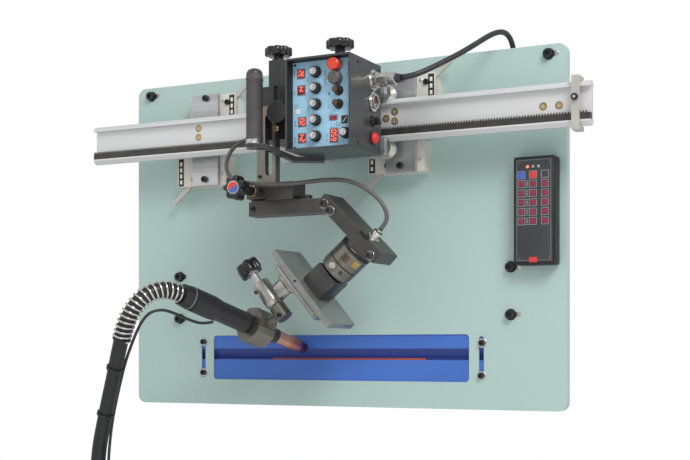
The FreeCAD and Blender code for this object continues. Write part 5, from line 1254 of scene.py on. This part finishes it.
# ---- pendant ----
def make_pendant():
    """Remote pendant: case, overlay with framed keys, lamps and screws."""
    low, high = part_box("pendant")
    bm = bmesh.new()
    add_block(bm, high - low, Matrix.Translation((low + high) / 2), 0.0035)
    case = keep("pendant_case", to_mesh(bm), pendant_black, "pendant", smooth=50)
    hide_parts("pendant")
    front = FACE_Y - low.y
    overlay = front + 0.0004
    x0, x1 = low.x + 0.004, high.x - 0.004
    z0, z1 = low.z + 0.005, high.z - 0.004
    plates("pendant_face", [(x0, x1, z0, z1)], front - 0.0002, 0.0006, pendant_face, "pendant", 0.0002)
    left, centre, right = columns = (0.3566, 0.3764, 0.3964)
    rows = [0.1711 - 0.0151 * k for k in range(5)]
    key, wide = 0.0052, 0.0066
    top_row = (0.1796, 0.1922)
    bm = bmesh.new()
    for x in columns:
        for z in rows:
            add_outline(bm, x - key - 0.001, x + key + 0.001, z - key - 0.0008, z + key + 0.0008, overlay, 0.0006)
    add_outline(bm, x0 + 0.0022, x1 - 0.0022, z0 + 0.0022, z1 - 0.0022, overlay, 0.0003)
    for z in rows:
        for dz in (key - 0.0002, -key - 0.0004):
            add_plate(bm, left + key, centre - key, z + dz, z + dz + 0.0006, overlay, INK)
        for k in (-1, 0, 1):
            add_plate(bm, left + 0.0084, centre - 0.0084, z + 0.0024 * k - 0.0005, z + 0.0024 * k + 0.0005, overlay,
                      INK)
    for x, line in ((right, 0.0008), (left, 0.0005), (centre, 0.0005)):
        add_outline(bm, x - wide, x + wide, *top_row, overlay, line)
    keep("key_frames", to_mesh(bm), key_frame, "pendant")
    keys = [(x - key + 0.0008, x + key - 0.0008, z - key + 0.0010, z + key - 0.0010) for x in columns for z in rows]
    plates("dark_keys", keys, overlay, 0.0005, key_red, "pendant", 0.0002)
    plates("bright_key", [(centre - 0.0058, centre + 0.0058, 0.1804, 0.1914),
                          (centre - 0.0068, centre + 0.0068, 0.0438, 0.0524)],
           overlay, 0.0006, key_bright, "pendant", 0.0002)
    plates("blue_key", [(left - 0.0058, left + 0.0058, 0.1804, 0.1914)], overlay, 0.0006, key_blue, "pendant", 0.0002)
    lamp_z = 0.1990
    turned("pendant_lamps", [(0, 0), (0.0024, 0), (0.0021, 0.0008), (0, 0.0012)], at(0.3670, overlay, lamp_z), FRONT,
           digit_glow, "pendant", 20)
    bm = bmesh.new()
    for x in (0.3764, 0.3857):
        add_turned(bm, [(0, 0.0003), (0.0023, 0.0003), (0.0023, 0.0009), (0.0016, 0.0013), (0, 0.0013)],
                   at(x, front + 0.0003, lamp_z), FRONT, 20)
    keep("pendant_lamp_rims", to_mesh(bm), key_frame, "pendant")
    spots = [(at(x, front + 0.0003, z), FRONT, 0.0032) for x in (x0 + 0.006, x1 - 0.006)
             for z in (z0 + 0.006, z1 - 0.006)]
    cross_screws("pendant_screws", spots, dark_steel, "pendant")


# ---- finishes of the carried-over solids ----
LEVERS = ("left_upper_lever", "left_lower_lever", "right_upper_lever", "right_lower_lever")
WHEELS = ("upper_left_wheel", "upper_right_wheel", "lower_left_wheel", "lower_right_wheel")
CAD_FINISH = (
    (panel_paint, ("back_panel",)),
    (black_oxide, ("panel_screws",)),
    (zinc, ("panel_sleeves", *WHEELS)),
    (blue_paint, ("work_plates",)),
    (bright_aluminium, ("bracket_plates", "carriage_chassis")),
    (label_cream, ("magnet_blocks",)),
    (rail_aluminium, ("rail",)),
    (lever_paint, ("rail_stop", *LEVERS)),
    (rack_steel, ("drive_pinion",)),
    (case_black, ("control_box",)),
    (face_blue, ("face_plate",)),
    (arm_steel, ("handle_arm", "slide_housing")),
    (column_steel, ("slide_column",)),
    (dark_steel, ("clamp_block", "cross_bar", "angled_link")),
    (slide_grey, ("slide_base", "slide_carrier")),
    (clamp_steel, ("torch_clamp",)),
    (handle_rubber, ("torch_handle",)),
    (copper, ("torch_nozzle",)),
    (brass, ("hose_connector",)),
    (chrome, ("control_plug",)),
)


def finish_cad_nodes():
    """Materials of the solids that stay, and the torch's insulating sleeve."""
    for material, names in CAD_FINISH:
        for name in names:
            slots = NODES[name].data.materials
            slots.clear()
            slots.append(material)
    turned("insulator_sleeve", [(0.0118, 0), (0.0131, 0), (0.0131, 0.0180), (0.0118, 0.0180), (0.0118, 0)],
           torch_at(0.0662), TORCH_DIR, insulator_black, "torch", 40)


# ---- stage and light ----
def make_stage():
    """Plain pale floor."""
    half, floor = 4.0, -1.20
    bm = bmesh.new()
    bm.faces.new([bm.verts.new((x * half, y * half, floor)) for x, y in ((-1, -1), (1, -1), (1, 1), (-1, 1))])
    material = bpy.data.materials.new("pale_floor")
    material.use_nodes = True
    shader = material.node_tree.nodes["Principled BSDF"]
    shader.inputs["Base Color"].default_value = (0.85, 0.85, 0.84, 1)
    shader.inputs["Roughness"].default_value = 0.8
    mesh = to_mesh(bm)
    mesh.materials.append(material)
    floor_piece = bpy.data.objects.new("floor", mesh)
    bpy.context.scene.collection.objects.link(floor_piece)


def set_light():
    """World that looks white and lights softly, and three soft lamps."""
    world = bpy.data.worlds.new("studio")
    world.use_nodes = True
    bpy.context.scene.world = world
    tree = world.node_tree
    tree.nodes.clear()
    path = add_node(tree, "ShaderNodeLightPath")
    seen = add_node(tree, "ShaderNodeMath", operation="MAXIMUM")
    strength = add_node(tree, "ShaderNodeMapRange", {"To Min": 0.57, "To Max": 1.0})
    back = add_node(tree, "ShaderNodeBackground", {"Color": (1, 1, 1, 1)})
    sink = add_node(tree, "ShaderNodeOutputWorld")
    wire(tree, (path, "Is Camera Ray", seen, 0), (path, "Is Transmission Ray", seen, 1),
         (seen, "Value", strength, "Value"), (strength, "Result", back, "Strength"),
         (back, "Background", sink, "Surface"))
    aim = Vector((0.0, -0.15, 0.1))
    for name, place, power, size in (("key", (2.0, -2.0, 2.1), 58.0, 1.3), ("fill", (-2.0, -2.4, 1.0), 4.0, 1.8),
                                     ("low", (0.8, -2.4, -0.5), 4.0, 1.4)):
        data = bpy.data.lights.new(name, "AREA")
        data.energy = power
        data.size = size
        lamp = bpy.data.objects.new(name, data)
        lamp.location = place
        lamp.rotation_euler = (aim - Vector(place)).to_track_quat("-Z", "Y").to_euler()
        bpy.context.scene.collection.objects.link(lamp)
    bpy.context.scene.view_settings.view_transform = "Standard"


set_camera()
make_torch_cords()
make_control_cable()
make_oscillator_lead()
make_upright_knobs()
make_star_knobs()
make_holder_knob()
make_holder()
make_weaving_unit()
make_slide_details()
make_face_details()
make_dials()
make_buttons_and_toggles()
make_box_side()
make_handle()
make_panel_details()
make_mount_details()
make_rack()
make_rail_details()
make_slide_unit_details()
make_link_details()
make_torch_details()
make_pendant()
finish_cad_nodes()
make_stage()
set_light()
